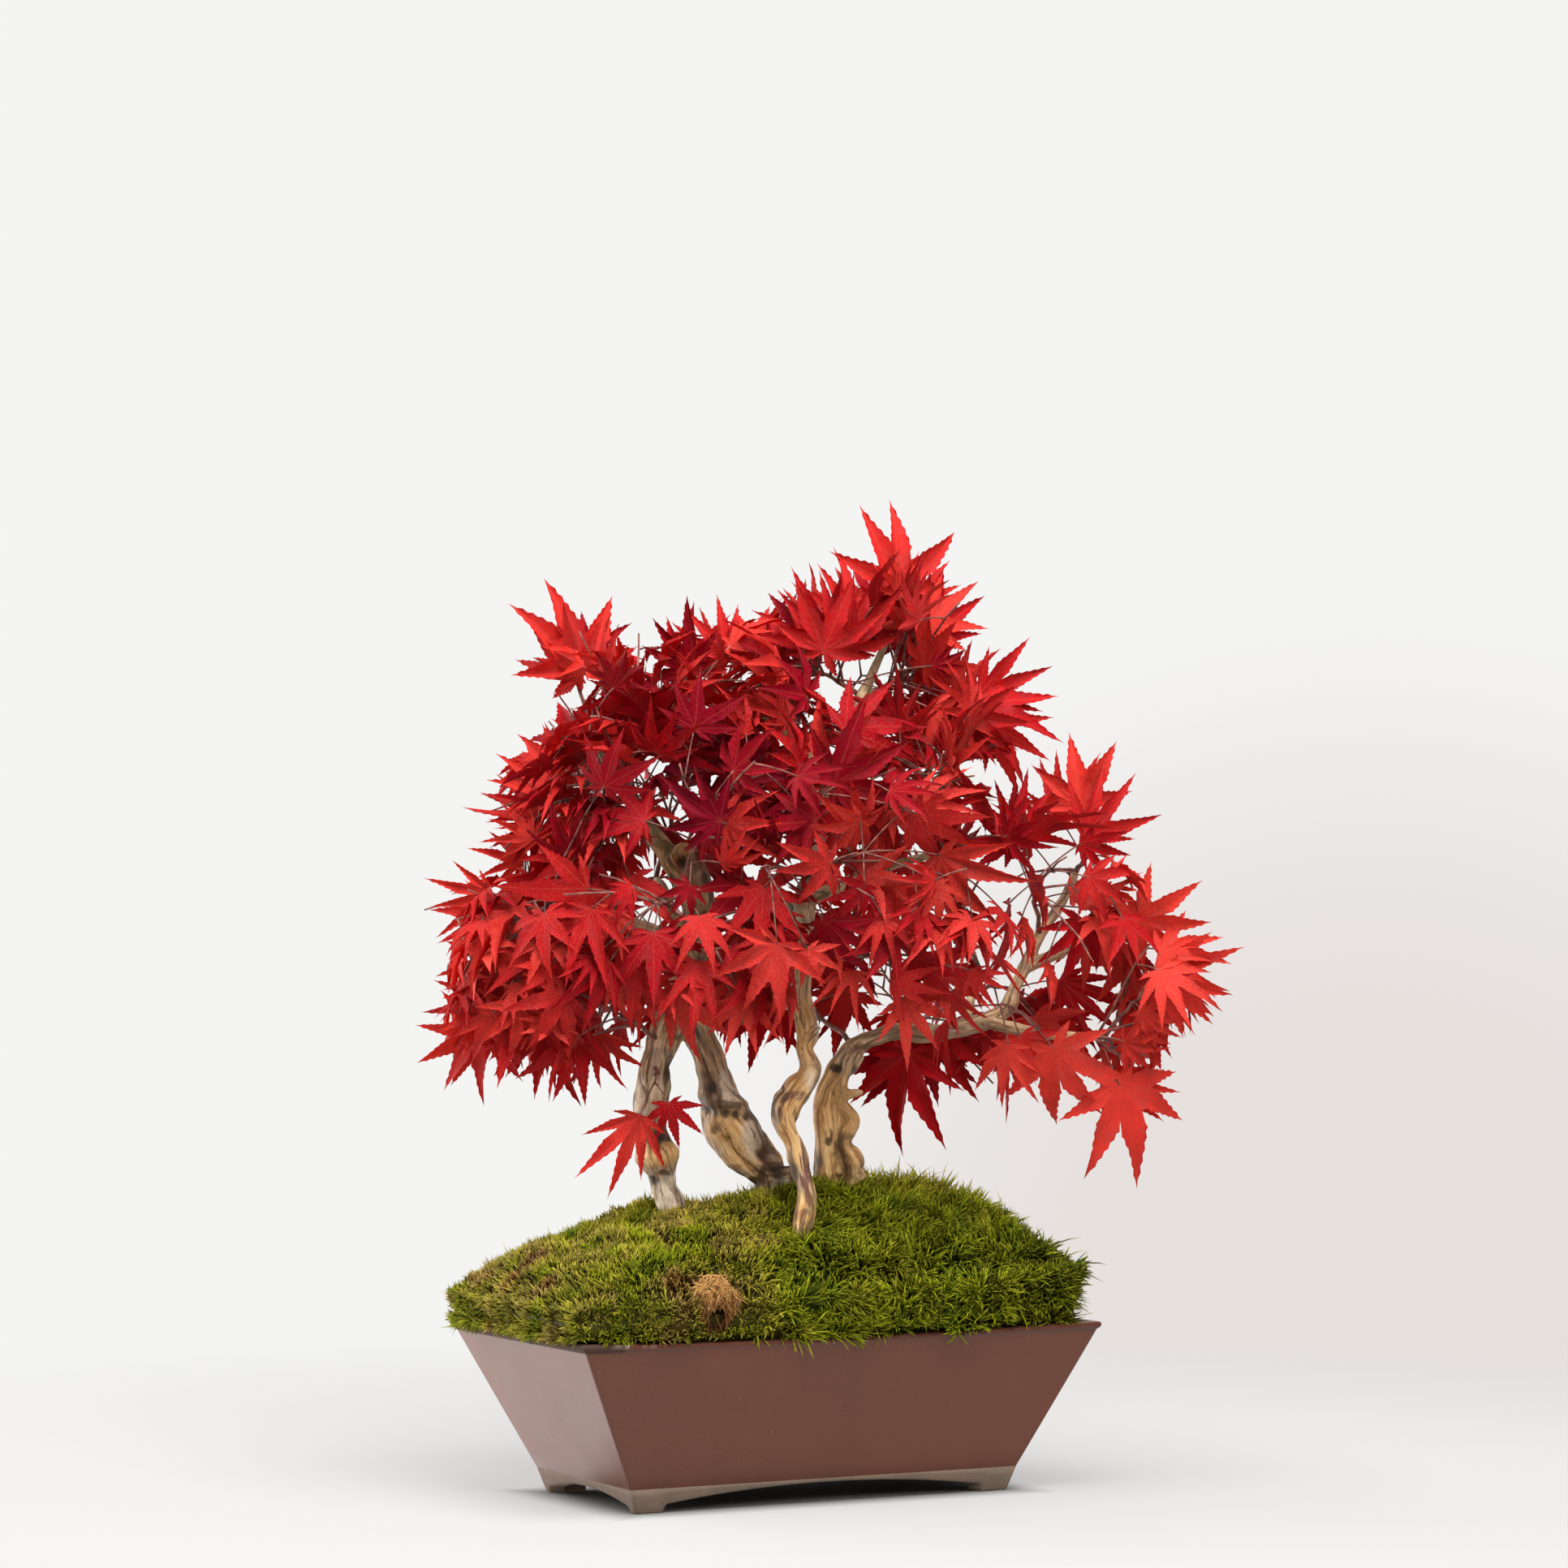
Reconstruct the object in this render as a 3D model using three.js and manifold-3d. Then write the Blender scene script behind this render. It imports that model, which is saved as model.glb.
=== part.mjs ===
// A red maple bonsai in its pot. Three weathered trunks rise from a mound of moss cushions and
// carry sprays of maple leaves; soil and moss are held by a flared, rectangular ceramic pot.
// Millimetres, +Z up. The pot's length lies along X. Places on the tree are written as
// [across, away, up] for somebody who looks at the front corner of the pot from the left,
// and are turned onto the pot's axes by VIEW_TURN. The pot's middle on the floor is their zero.
import * as THREE from 'three';
import { mergeVertices } from 'three/addons/utils/BufferGeometryUtils.js';
import Module from 'manifold-3d';

const wasm = await Module();
wasm.setup();

const GAP = 0.3; // clearance between pieces that touch
const VIEW_TURN = THREE.MathUtils.degToRad(28);

// Pot
const POT_HEIGHT = 89;
const RIM_HALF = [151, 81]; // half length and half width
const GLAZE_HALF = [113, 57];
const FOOT_HALF = [109, 53.2];
const GLAZE_LINE = 12.8; // the bare clay ring ends here
const MID_WALL = 50;
const RIM_SAG = 2; // the long rims dip this much in the middle
const WALL = 7;
const LIP_ROUND = 1.5;
const CORNER_ROUND = 1.8;
const POT_FLOOR = 19; // the floor's inside; its underside is at the glaze line
const FOOT_WALL = 7; // thickness of the foot ring that the bowl stands on
const FOOT_SIZE = [16, 5];
const FOOT_TOP = 4.4; // the apron starts here, and rises to its crown
const APRON_CROWN = [10.8, 8.8]; // along the long and the short sides
const FOOT_SLOPE = [2.5, 7];
const DRAIN_X = 60;
const DRAIN_RADIUS = 10;
const DRAIN_SIDES = 14;
const MESH_SIDE = 28;
const MESH_THICK = 1;
const MESH_HOLE = 7;
const MESH_PITCH = 10;

// Moss mound
const MOSS_FOOT_HALF = [147, 77];
const MOSS_TOP_HALF = [151, 81];
const MOSS_LEAN = 4; // the mound hangs over the left rim
const MOSS_DOME_HALF = [156, 84.5]; // the dome would reach the rim's level here
const MOSS_CORNER = 0.035; // how far the corners are drawn in
const MOSS_EDGE = 12;
const MOSS_PEAK = 75;
const MOSS_PEAK_X = 55;
const MOSS_FALL = [17, 19]; // how much lower the mound is towards its left and its right end
const MOSS_LUMP = 2.2;
const MOSS_DIP = 4; // the moss sinks round the centre stem
const MOSS_DIP_RADIUS = 20;
const CUSHION_GAP = 0.4;
const CREASE = 4;
const MOSS_COLUMNS = [-1, -0.6, -0.2, 0.4, 1]; // shares of the half length
const MOSS_SPLIT = 0.1; // front and back cushions meet here, as a share of the half width
const CLUMP_AT = [-31, -104, 106];
const CLUMP_SIZE = [12, 8, 12];

// Trunks: rows of [across, away, up, radius]
const LEFT_LEG = [
  [-51, -30, 60, 8], [-52, -30, 120, 9], [-54, -30, 146, 9.5], [-60, -30, 162, 8],
  [-63, -30, 177, 12.5], [-67, -30, 196, 9.5], [-64, -29, 210, 9], [-61, -28, 222, 9.5],
  [-56, -22, 241, 11.5], [-50, -15, 262, 10], [-45, -10, 285, 9.5], [-41, -9, 305, 9],
  [-46, -11, 322, 10.5], [-53, -12, 337, 8],
];
const LEANING_LEG = [
  [4, 8, 60, 10], [3, 7, 120, 11], [1, 5, 156, 11.5], [-4, 3, 168, 11.5], [-12, 1, 178, 12.5],
  [-24, -3, 194, 14.5], [-29, -5, 203, 13.5], [-36, -9, 217, 10.5], [-41, -13, 233, 9.5],
  [-48, -17, 248, 9],
];
const CENTRE_STEM = [
  [10, -52, 60, 6], [11, -52, 118, 6], [12, -51, 137, 5.5], [16, -49, 151, 5],
  [14, -45, 174, 5], [10, -42, 183, 6.3], [6, -36, 197, 10.5], [10, -31, 208, 11.5],
  [18, -26, 219, 7.5], [16, -24, 228, 6.8], [15, -22, 236, 6], [19, -21, 250, 6.3],
  [14, -19, 264, 5.2], [15, -15, 297, 5], [20, -10, 335, 4.8], [30, -5, 372, 4.3],
  [45, 0, 416, 3.4], [58, 3, 448, 2.4],
];
const RIGHT_STRAND = [
  [27, 9, 60, 9], [27, 9, 120, 9.5], [27, 8, 157, 8.5], [26, 7, 171, 7.5], [26, 6, 186, 7.5],
  [25, 5, 200, 8], [30, 5, 215, 9], [38, 7, 227, 8.5], [50, 9, 236, 7.5], [63, 10, 238, 6.5],
  [74, 11, 241, 7.2], [83, 11, 240, 5.5], [96, 12, 242, 5], [110, 14, 246, 5],
  [122, 15, 253, 4.6], [126, 16, 263, 4.3], [132, 18, 276, 4], [140, 22, 292, 3.6],
  [152, 26, 310, 3], [160, 28, 326, 2.2],
];
const TWISTED_STRAND = [
  [42, 12, 60, 8], [41, 12, 120, 8.5], [40, 12, 158, 9], [43, 11, 168, 8.5], [37, 9, 179, 7],
  [36, 8, 188, 6.5], [39, 8, 195, 6.5], [36, 9, 203, 6.5], [38, 10, 213, 8],
  [42, 10, 221, 7], [45, 10, 231, 5.5],
];
const ARCHED_BRANCHES = [
  [[-45, -10, 285, 6], [-70, -20, 296, 4.5], [-100, -28, 300, 3.4], [-130, -32, 296, 2.4]],
  [[-50, -11, 325, 6], [-68, -8, 350, 4], [-85, -6, 375, 3], [-98, -8, 398, 2.2]],
  [[-44, -10, 290, 5.5], [-56, 20, 305, 4], [-62, 50, 318, 3], [-66, 75, 322, 2.2]],
  [[-45, -12, 280, 5.5], [-50, -45, 298, 3.6], [-52, -75, 305, 2.4]],
];
const CENTRE_BRANCHES = [
  [[15, -15, 297, 4.5], [12, -45, 312, 3.4], [15, -75, 322, 2.4]],
  [[20, -10, 335, 4.2], [45, 25, 352, 3.2], [62, 55, 360, 2.3]],
  [[30, -5, 372, 3.8], [5, 8, 398, 3], [-20, 12, 415, 2.2]],
  [[16, -13, 310, 4.2], [50, -35, 325, 3.2], [85, -45, 335, 2.3]],
  [[15, -15, 300, 4], [-2, 30, 318, 3.2], [-8, 70, 326, 2.3]],
];
const RIGHT_BRANCHES = [
  [[110, 14, 246, 4.2], [140, 0, 240, 3.2], [172, -8, 238, 2.3]],
  [[130, 18, 274, 3.8], [160, 16, 286, 3], [188, 14, 292, 2.2]],
  [[100, 13, 243, 4], [105, 45, 262, 3], [110, 70, 272, 2.2]],
];
const TRUNK_SIDES = 7;
const BRANCH_SIDES = 5;
const WOOD_LUMP = 0.14; // how far the wood swells and shrinks round its section
const LUMP_TWIST = 0.9; // radians that the swelling turns by from one row to the next
const TWIG_LEVEL = 215; // twigs are set in the wood above this

// Leaf sprays: [across, away, up] of the twig's tip and the number of leaves on it
const SPRAYS = [
  // hanging low, all round
  [-124, -52, 254, 6], [-150, -12, 258, 7], [-110, 45, 256, 6], [-82, -76, 250, 6],
  [-63, -50, 216, 3], [-24, -84, 274, 7], [-14, 78, 266, 6],
  [58, -76, 280, 6], [70, 46, 246, 5], [116, -36, 256, 6], [128, 60, 262, 6],
  [158, -26, 236, 6], [184, 14, 222, 5], [196, -12, 264, 7], [196, 36, 280, 7],
  // the middle of the crown
  [-148, -30, 306, 7], [-136, 30, 316, 7], [-112, -74, 308, 7], [-62, -96, 308, 7],
  [-8, -100, 326, 7], [44, -98, 334, 7], [98, -76, 320, 7], [132, -32, 318, 6],
  [168, 6, 334, 6], [144, 52, 324, 6], [90, 84, 320, 6], [0, 98, 319, 8],
  [-92, 74, 314, 6],
  // the shoulders
  [-112, -24, 362, 7], [-80, -60, 366, 7], [-32, -84, 362, 8], [22, -84, 364, 8],
  [78, -52, 376, 8], [108, 8, 396, 7], [78, 60, 374, 6], [18, 76, 374, 6],
  [-50, 64, 374, 6], [-96, 34, 370, 6],
  // the top
  [-58, -24, 412, 7], [-20, 32, 420, 6], [12, -32, 432, 7], [72, 14, 428, 7],
  [-107, -10, 430, 5], [55, 4, 468, 6],
];
const TWIG_RADIUS = 1.3;
const TWIG_LIFT = 0.14; // how far a twig bows upwards, as a share of its length
const TWIG_STEPS = 4;
const TWIG_ACROSS = new THREE.Vector3(0.6, 0.8, 0.1); // a twig's sections are squared to this
const PAIR_STEP = 0.22; // pairs of leaves stand this far apart, as a share of the twig
const PAIR_TURN = 1.5; // radians between one pair and the next
const STALK_SPREAD = [0.85, 1.35]; // radians between a stalk and its twig
const END_SPREAD = 0.2; // the same for the leaf that ends the twig
const SINK_LEVELS = [230, 430]; // leaves sink fully below the first level, not above the second
const LEAST_BEND = 0.45; // a blade turns no further from its stalk than this cosine
const PETIOLE_RADIUS = 0.5;
const PETIOLE = [12, 28]; // shortest and longest leaf stalk
const LEAF_SIZE = [32, 49]; // stalk to the tip of the middle lobe
const LEAF_THICK = 0.4;
const HEEL = 1.2; // the blade starts this far behind the end of its stalk
const LEAF_DROOP = 0.06; // how far a tip bends down, as a share of its reach
const LEAF_TRIES = 160;
const LEAF_CLEAR = 1;
// Half a leaf's outline as [degrees from the middle lobe, reach]: tips and notches in turn
const LEAF_OUTLINE = [[0, 1], [20, 0.46], [40, 0.93], [61, 0.42], [84, 0.72]];
// The crown fills these rounded blocks: middle [across, away, up], then half sizes
const CROWN_MIDDLE = [20, 0, 292];
const CROWN_POWER = 2.6;
const CROWN = [
  [[-70, -5, 268], [127, 112, 68]], [[-46, 0, 372], [113, 105, 98]],
  [[48, 0, 438], [70, 62, 90]], [[50, -5, 326], [112, 118, 106]],
  [[112, 5, 412], [38, 44, 46]], [[150, 8, 300], [54, 62, 98]],
  [[190, 8, 252], [56, 62, 50]], [[140, 15, 240], [75, 62, 56]],
  [[66, 44, 225], [36, 38, 44]], [[-112, -8, 440], [32, 34, 48]],
  [[-68, -50, 202], [40, 36, 48]], [[188, 5, 216], [32, 40, 54]],
];

const COLOURS = {
  glaze: 0x684638, bareClay: 0x736153, mesh: 0x2b2b28, soil: 0x3a2c22, wood: 0xbe966a, dried: 0x8a5a30,
  moss: [0x8b8b3c, 0x7c8030, 0x5f8220, 0x6a9018, 0x7f7c34, 0x757c2a, 0x64861c],
  leaf: [0xc41e1e, 0xb01a20, 0xd02a24, 0x9c1420],
};

const { lerp, clamp, degToRad } = THREE.MathUtils;
const UP = new THREE.Vector3(0, 0, 1);

function turned([across, away, up]) {
  const cos = Math.cos(VIEW_TURN);
  const sin = Math.sin(VIEW_TURN);
  return new THREE.Vector3(across * cos + away * sin, away * cos - across * sin, up);
}

// ---------- solids ----------

function solidOf(geometry) {
  const bare = geometry.index ? geometry.clone() : geometry;
  bare.deleteAttribute('normal');
  bare.deleteAttribute('uv');
  const merged = mergeVertices(bare, 1e-4);
  return new wasm.Manifold(new wasm.Mesh({
    numProp: 3,
    vertProperties: new Float32Array(merged.attributes.position.array),
    triVerts: new Uint32Array(merged.index.array),
  }));
}

function solidFrom(points, triangles) {
  return new wasm.Manifold(new wasm.Mesh({
    numProp: 3,
    vertProperties: new Float32Array(points.flatMap((p) => [p.x, p.y, p.z])),
    triVerts: new Uint32Array(triangles.flat()),
  }));
}

function geometryOf(solid) {
  const mesh = solid.getMesh();
  const geometry = new THREE.BufferGeometry();
  geometry.setAttribute('position', new THREE.BufferAttribute(mesh.vertProperties, 3));
  geometry.setIndex(new THREE.BufferAttribute(mesh.triVerts, 1));
  geometry.computeVertexNormals();
  return geometry;
}

function largestOf(solid) {
  const bodies = solid.decompose();
  return bodies.reduce((best, body) => (body.volume() > best.volume() ? body : best));
}

function box(size, centre) {
  return solidOf(new THREE.BoxGeometry(...size).translate(...centre));
}

function quad(a, b, c, d) {
  return [[a, b, c], [a, c, d]];
}

// Rings of equal length, joined side to side. The ends are closed by strips between the ring's
// first half and its second half, which mirror each other.
function loft(rings) {
  const count = rings[0].length;
  const triangles = [];
  for (let r = 0; r + 1 < rings.length; r++) {
    for (let i = 0; i < count; i++) {
      const j = (i + 1) % count;
      const low = r * count;
      triangles.push(...quad(low + i, low + j, low + count + j, low + count + i));
    }
  }
  const last = (rings.length - 1) * count;
  for (let i = 0; i + 1 < count / 2; i++) {
    const [a, b, c, d] = [i, i + 1, count - 2 - i, count - 1 - i];
    triangles.push(...quad(d, c, b, a), ...quad(last + a, last + b, last + c, last + d));
  }
  return solidFrom(rings.flat(), triangles);
}

// ---------- pot, drain meshes and soil ----------

function rimDip(x, z) {
  const along = clamp(Math.abs(x) / RIM_HALF[0], 0, 1);
  return RIM_SAG * (1 - along * along) * (z / POT_HEIGHT) ** 2;
}

function wallHalf(side, z) {
  if (z <= GLAZE_LINE) return lerp(FOOT_HALF[side], GLAZE_HALF[side], z / GLAZE_LINE);
  const t = (z - GLAZE_LINE) / (POT_HEIGHT - GLAZE_LINE);
  return lerp(GLAZE_HALF[side], RIM_HALF[side], t);
}

// One rectangular ring with rounded corners: the front row from left to right, then its mirror
function potRing(z, inset) {
  const [halfX, halfY] = [wallHalf(0, z) - inset, wallHalf(1, z) - inset];
  const corner = [0, 45, 90].map((a) => [
    CORNER_ROUND * (1 - Math.cos(degToRad(a))), CORNER_ROUND * (1 - Math.sin(degToRad(a))),
  ]);
  const left = corner.map(([x, y]) => [x - halfX, y - halfY]);
  const side = [-0.6, -0.2, 0.2, 0.6].map((share) => [share * halfX, -halfY]);
  const right = left.map(([x, y]) => [-x, y]).reverse();
  const front = [...left, ...side, ...right];
  const back = front.map(([x, y]) => [x, -y]).reverse();
  return [...front, ...back].map(([x, y]) => new THREE.Vector3(x, y, z - rimDip(x, z)));
}

function apronCutter(side, through) {
  const half = FOOT_HALF[side] - FOOT_SIZE[side];
  const inner = half - FOOT_SLOPE[side];
  const shape = new THREE.Shape();
  shape.moveTo(-half, -1);
  shape.lineTo(-half, 0);
  shape.quadraticCurveTo(-half, FOOT_TOP, -inner, FOOT_TOP);
  shape.quadraticCurveTo(0, 2 * APRON_CROWN[side] - FOOT_TOP, inner, FOOT_TOP);
  shape.quadraticCurveTo(half, FOOT_TOP, half, 0);
  shape.lineTo(half, -1);
  const settings = { depth: 2 * through, bevelEnabled: false, curveSegments: 6 };
  const geometry = new THREE.ExtrudeGeometry(shape, settings);
  return geometry.rotateX(Math.PI / 2).translate(0, through, 0);
}

function makePot() {
  const outer = [GLAZE_LINE, MID_WALL, POT_HEIGHT - LIP_ROUND].map((z) => potRing(z, 0));
  const inner = [POT_HEIGHT - LIP_ROUND, MID_WALL, POT_FLOOR].map((z) => potRing(z, WALL));
  const lip = [potRing(POT_HEIGHT, LIP_ROUND), potRing(POT_HEIGHT, WALL - LIP_ROUND)];
  let pot = loft([...outer, ...lip, ...inner]);
  for (const x of [-DRAIN_X, DRAIN_X]) {
    const drain = new THREE.CylinderGeometry(DRAIN_RADIUS, DRAIN_RADIUS, POT_FLOOR, DRAIN_SIDES);
    pot = pot.subtract(solidOf(drain.rotateX(Math.PI / 2).translate(x, 0, POT_FLOOR)));
  }
  return pot;
}

// The bare clay ring under the bowl: four aprons that arch up between the corner feet
function makeFootRing() {
  const opening = FOOT_HALF.map((half) => 2 * (half - FOOT_WALL));
  return loft([potRing(0, 0), potRing(GLAZE_LINE - GAP, 0)])
    .subtract(box([...opening, 3 * GLAZE_LINE], [0, 0, 0]))
    .subtract(solidOf(apronCutter(0, RIM_HALF[1])))
    .subtract(solidOf(apronCutter(1, RIM_HALF[0]).rotateZ(Math.PI / 2)));
}

function makeDrainMesh(x) {
  const level = POT_FLOOR + GAP + MESH_THICK / 2;
  let sheet = box([MESH_SIDE, MESH_SIDE, MESH_THICK], [x, 0, level]);
  for (const column of [-0.5, 0.5]) {
    for (const row of [-0.5, 0.5]) {
      const centre = [x + column * MESH_PITCH, row * MESH_PITCH, level];
      sheet = sheet.subtract(box([MESH_HOLE, MESH_HOLE, 2 * MESH_THICK], centre));
    }
  }
  return sheet;
}

function makeSoil(roots) {
  const levels = [POT_FLOOR + GAP, MID_WALL, POT_HEIGHT - LIP_ROUND, POT_HEIGHT];
  let soil = loft(levels.map((z) => potRing(z, WALL + 2 * GAP)));
  const pocket = MESH_SIDE + 2 * GAP;
  for (const x of [-DRAIN_X, DRAIN_X]) {
    const high = 2 * (MESH_THICK + 2 * GAP);
    soil = soil.subtract(box([pocket, pocket, high], [x, 0, POT_FLOOR]));
  }
  return soil.subtract(roots);
}

// ---------- moss ----------

function moundHeight(x, y) {
  const climbX = (1 - Math.abs((x + MOSS_LEAN) / MOSS_DOME_HALF[0]) ** 6) ** 0.6;
  const climbY = (1 - Math.abs(y / MOSS_DOME_HALF[1]) ** 2.4) ** 0.7;
  const [leftFall, rightFall] = MOSS_FALL;
  const fall = x < MOSS_PEAK_X
    ? leftFall * ((MOSS_PEAK_X - x) / RIM_HALF[0]) ** 1.5
    : rightFall * ((x - MOSS_PEAK_X) / (RIM_HALF[0] - MOSS_PEAK_X)) ** 2;
  const stem = turned(CENTRE_STEM[2]);
  const toStem = Math.hypot(x - stem.x, y - stem.y) / MOSS_DIP_RADIUS;
  const lumps = MOSS_LUMP * Math.sin(x / 13 + 1) * Math.cos(y / 11 + x / 40);
  const peak = MOSS_PEAK - fall - MOSS_DIP * Math.exp(-toStem * toStem) + lumps;
  return MOSS_EDGE + (peak - MOSS_EDGE) * climbX * climbY;
}

// A cushion covers a rectangle of the mound, given as shares of its half length and half width
function makeCushion(x0, x1, y0, y1, roots) {
  const [columns, rows] = [x1 - x0 > 0.5 ? 6 : 4, y1 - y0 > 1.5 ? 7 : 4];
  const points = [];
  for (const top of [false, true]) {
    const spread = (side, share) => share * lerp(
      MOSS_FOOT_HALF[side], MOSS_TOP_HALF[side], top ? Math.abs(share) ** 9 : 0,
    );
    for (let j = 0; j <= rows; j++) {
      for (let i = 0; i <= columns; i++) {
        const [shareX, shareY] = [lerp(x0, x1, i / columns), lerp(y0, y1, j / rows)];
        const insetX = Math.abs(shareX) < 1 ? (1 - (2 * i) / columns) * CUSHION_GAP : 0;
        const insetY = Math.abs(shareY) < 1 ? (1 - (2 * j) / rows) * CUSHION_GAP : 0;
        const corner = 1 - MOSS_CORNER * (shareX * shareY) ** 4;
        const x = corner * (spread(0, shareX) + insetX) - (top ? MOSS_LEAN * shareX ** 4 : 0);
        const y = corner * (spread(1, shareY) + insetY);
        const seam = [[i, x0, columns], [columns - i, x1, columns], [j, y0, rows], [rows - j, y1, rows]];
        const dip = seam.some(([steps, share]) => steps === 0 && Math.abs(share) < 1) ? CREASE : 0;
        const rim = POT_HEIGHT - rimDip(x, POT_HEIGHT);
        points.push(new THREE.Vector3(x, y, rim + (top ? moundHeight(x, y) - dip : GAP)));
      }
    }
  }
  const width = columns + 1;
  const layer = width * (rows + 1);
  const triangles = [];
  for (let j = 0; j < rows; j++) {
    for (let i = 0; i < columns; i++) {
      const a = j * width + i;
      const [b, c, d] = [a + 1, a + width + 1, a + width];
      triangles.push(...quad(d, c, b, a), ...quad(layer + a, layer + b, layer + c, layer + d));
    }
  }
  for (let i = 0; i < columns; i++) {
    const back = rows * width + i;
    triangles.push(...quad(i, i + 1, layer + i + 1, layer + i));
    triangles.push(...quad(back + 1, back, layer + back, layer + back + 1));
  }
  for (let j = 0; j < rows; j++) {
    const [left, right] = [j * width, j * width + columns];
    triangles.push(...quad(left + width, left, layer + left, layer + left + width));
    triangles.push(...quad(right, right + width, layer + right + width, layer + right));
  }
  return largestOf(solidFrom(points, triangles).subtract(roots));
}

function makeClump(grow) {
  const geometry = new THREE.IcosahedronGeometry(1, 1);
  const size = CLUMP_SIZE.map((half) => half + grow);
  geometry.scale(...size).rotateZ(-VIEW_TURN);
  return solidOf(geometry.translate(...turned(CLUMP_AT).toArray()));
}

// ---------- wood ----------

// The points, directions and radii of a limb's rows, on one smooth curve
function limbStations(rows) {
  const curve = new THREE.CatmullRomCurve3(rows.map(turned));
  return rows.map((row, i) => {
    const t = i / (rows.length - 1);
    return { point: curve.getPoint(t), tangent: curve.getTangent(t), radius: row[3] };
  });
}

function sectionFrame(tangent, before) {
  const across = before.clone().addScaledVector(tangent, -before.dot(tangent)).normalize();
  return [across, tangent.clone().cross(across)];
}

function limb(rows, sides, grow) {
  const stations = limbStations(rows);
  const points = [];
  let across = new THREE.Vector3(1, 0.3, 0);
  for (const [index, station] of stations.entries()) {
    const [side, forward] = sectionFrame(station.tangent, across);
    across = side;
    for (let k = 0; k < sides; k++) {
      const angle = (2 * Math.PI * k) / sides;
      const swell = 1 + WOOD_LUMP * Math.sin(2 * angle + index * LUMP_TWIST + rows[0][0]);
      const reach = station.radius * swell + grow;
      points.push(station.point.clone()
        .addScaledVector(side, reach * Math.cos(angle))
        .addScaledVector(forward, reach * Math.sin(angle)));
    }
  }
  const last = stations.length - 1;
  points.push(stations[0].point.clone().addScaledVector(stations[0].tangent, -grow));
  points.push(stations[last].point.clone().addScaledVector(stations[last].tangent, grow + 1));
  const [startCap, endCap] = [points.length - 2, points.length - 1];
  const triangles = [];
  for (let k = 0; k < sides; k++) {
    const next = (k + 1) % sides;
    for (let i = 0; i < last; i++) {
      const low = i * sides;
      triangles.push(...quad(low + k, low + next, low + sides + next, low + sides + k));
    }
    triangles.push([startCap, next, k], [endCap, last * sides + k, last * sides + next]);
  }
  return solidFrom(points, triangles);
}

const TRUNKS = {
  trunk_arched: { stems: [LEFT_LEG, LEANING_LEG], branches: ARCHED_BRANCHES },
  trunk_centre: { stems: [CENTRE_STEM], branches: CENTRE_BRANCHES },
  trunk_right: { stems: [RIGHT_STRAND, TWISTED_STRAND], branches: RIGHT_BRANCHES },
};

function makeTrunk({ stems, branches }, grow) {
  const limbs = [
    ...stems.map((rows) => limb(rows, TRUNK_SIDES, grow)),
    ...branches.map((rows) => limb(rows, BRANCH_SIDES, grow)),
  ];
  return wasm.Manifold.union(limbs);
}

// ---------- leaf sprays ----------

// A row of numbers from 0 to 1 that is the same on every run, for one leaf at one attempt
function drawsFor(spray, leaf, attempt) {
  let state = spray * 7919 + leaf * 613 + attempt * 37 + 11;
  const next = () => {
    state = (1664525 * state + 1013904223) % 4294967296;
    return state / 4294967296;
  };
  next();
  next();
  return next;
}

function wholeOutline() {
  const left = LEAF_OUTLINE.slice(1).map(([angle, reach]) => [-angle, reach]).reverse();
  return [...left, ...LEAF_OUTLINE];
}

function outlineReach(angle) {
  const table = [...LEAF_OUTLINE, [180, 0.03]];
  const i = Math.max(1, table.findIndex(([degrees]) => degrees >= angle));
  const [[a0, r0], [a1, r1]] = [table[i - 1], table[i]];
  return lerp(r0, r1, (angle - a0) / (a1 - a0));
}

function leafPoint(leaf, degrees, reach, grow = 0) {
  const length = reach * leaf.size + grow;
  return leaf.centre.clone()
    .addScaledVector(leaf.along, length * Math.cos(degToRad(degrees)))
    .addScaledVector(leaf.side, length * Math.sin(degToRad(degrees)))
    .addScaledVector(leaf.normal, -LEAF_DROOP * reach * leaf.size);
}

// The lines that stand for a leaf when two are tested for crossing: its edge and its midribs
function leafLines(leaf) {
  const edge = wholeOutline().map(([angle, reach]) => leafPoint(leaf, angle, reach));
  const lines = [];
  for (let i = 0; i < edge.length; i++) {
    if (i > 0) lines.push([edge[i - 1], edge[i]]);
    if (i % 2 === 0) lines.push([leaf.centre, edge[i]]);
  }
  return lines;
}

// Whether the line a-b, with a radius of its own, comes through the leaf's plane inside its outline
function pierces(leaf, a, b, radius) {
  const heightA = leaf.normal.dot(a.clone().sub(leaf.centre));
  const heightB = leaf.normal.dot(b.clone().sub(leaf.centre));
  const clear = radius + LEAF_CLEAR;
  if (heightA * heightB > 0 && Math.min(Math.abs(heightA), Math.abs(heightB)) > clear) return false;
  let share = heightA / (heightA - heightB);
  if (heightA * heightB > 0) share = Math.abs(heightA) < Math.abs(heightB) ? 0 : 1;
  const hit = a.clone().lerp(b, share).sub(leaf.centre);
  const [along, side] = [hit.dot(leaf.along), hit.dot(leaf.side)];
  const distance = Math.hypot(along, side);
  const angle = Math.abs(THREE.MathUtils.radToDeg(Math.atan2(side, along)));
  return distance < outlineReach(angle) * leaf.size + clear;
}

function inCrown(point) {
  return CROWN.some(([middle, half]) => {
    const offset = point.clone().sub(turned(middle)).applyAxisAngle(UP, VIEW_TURN).toArray();
    const shares = offset.map((value, k) => Math.abs(value / half[k]) ** CROWN_POWER);
    return shares[0] + shares[1] + shares[2] < 1;
  });
}

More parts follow.
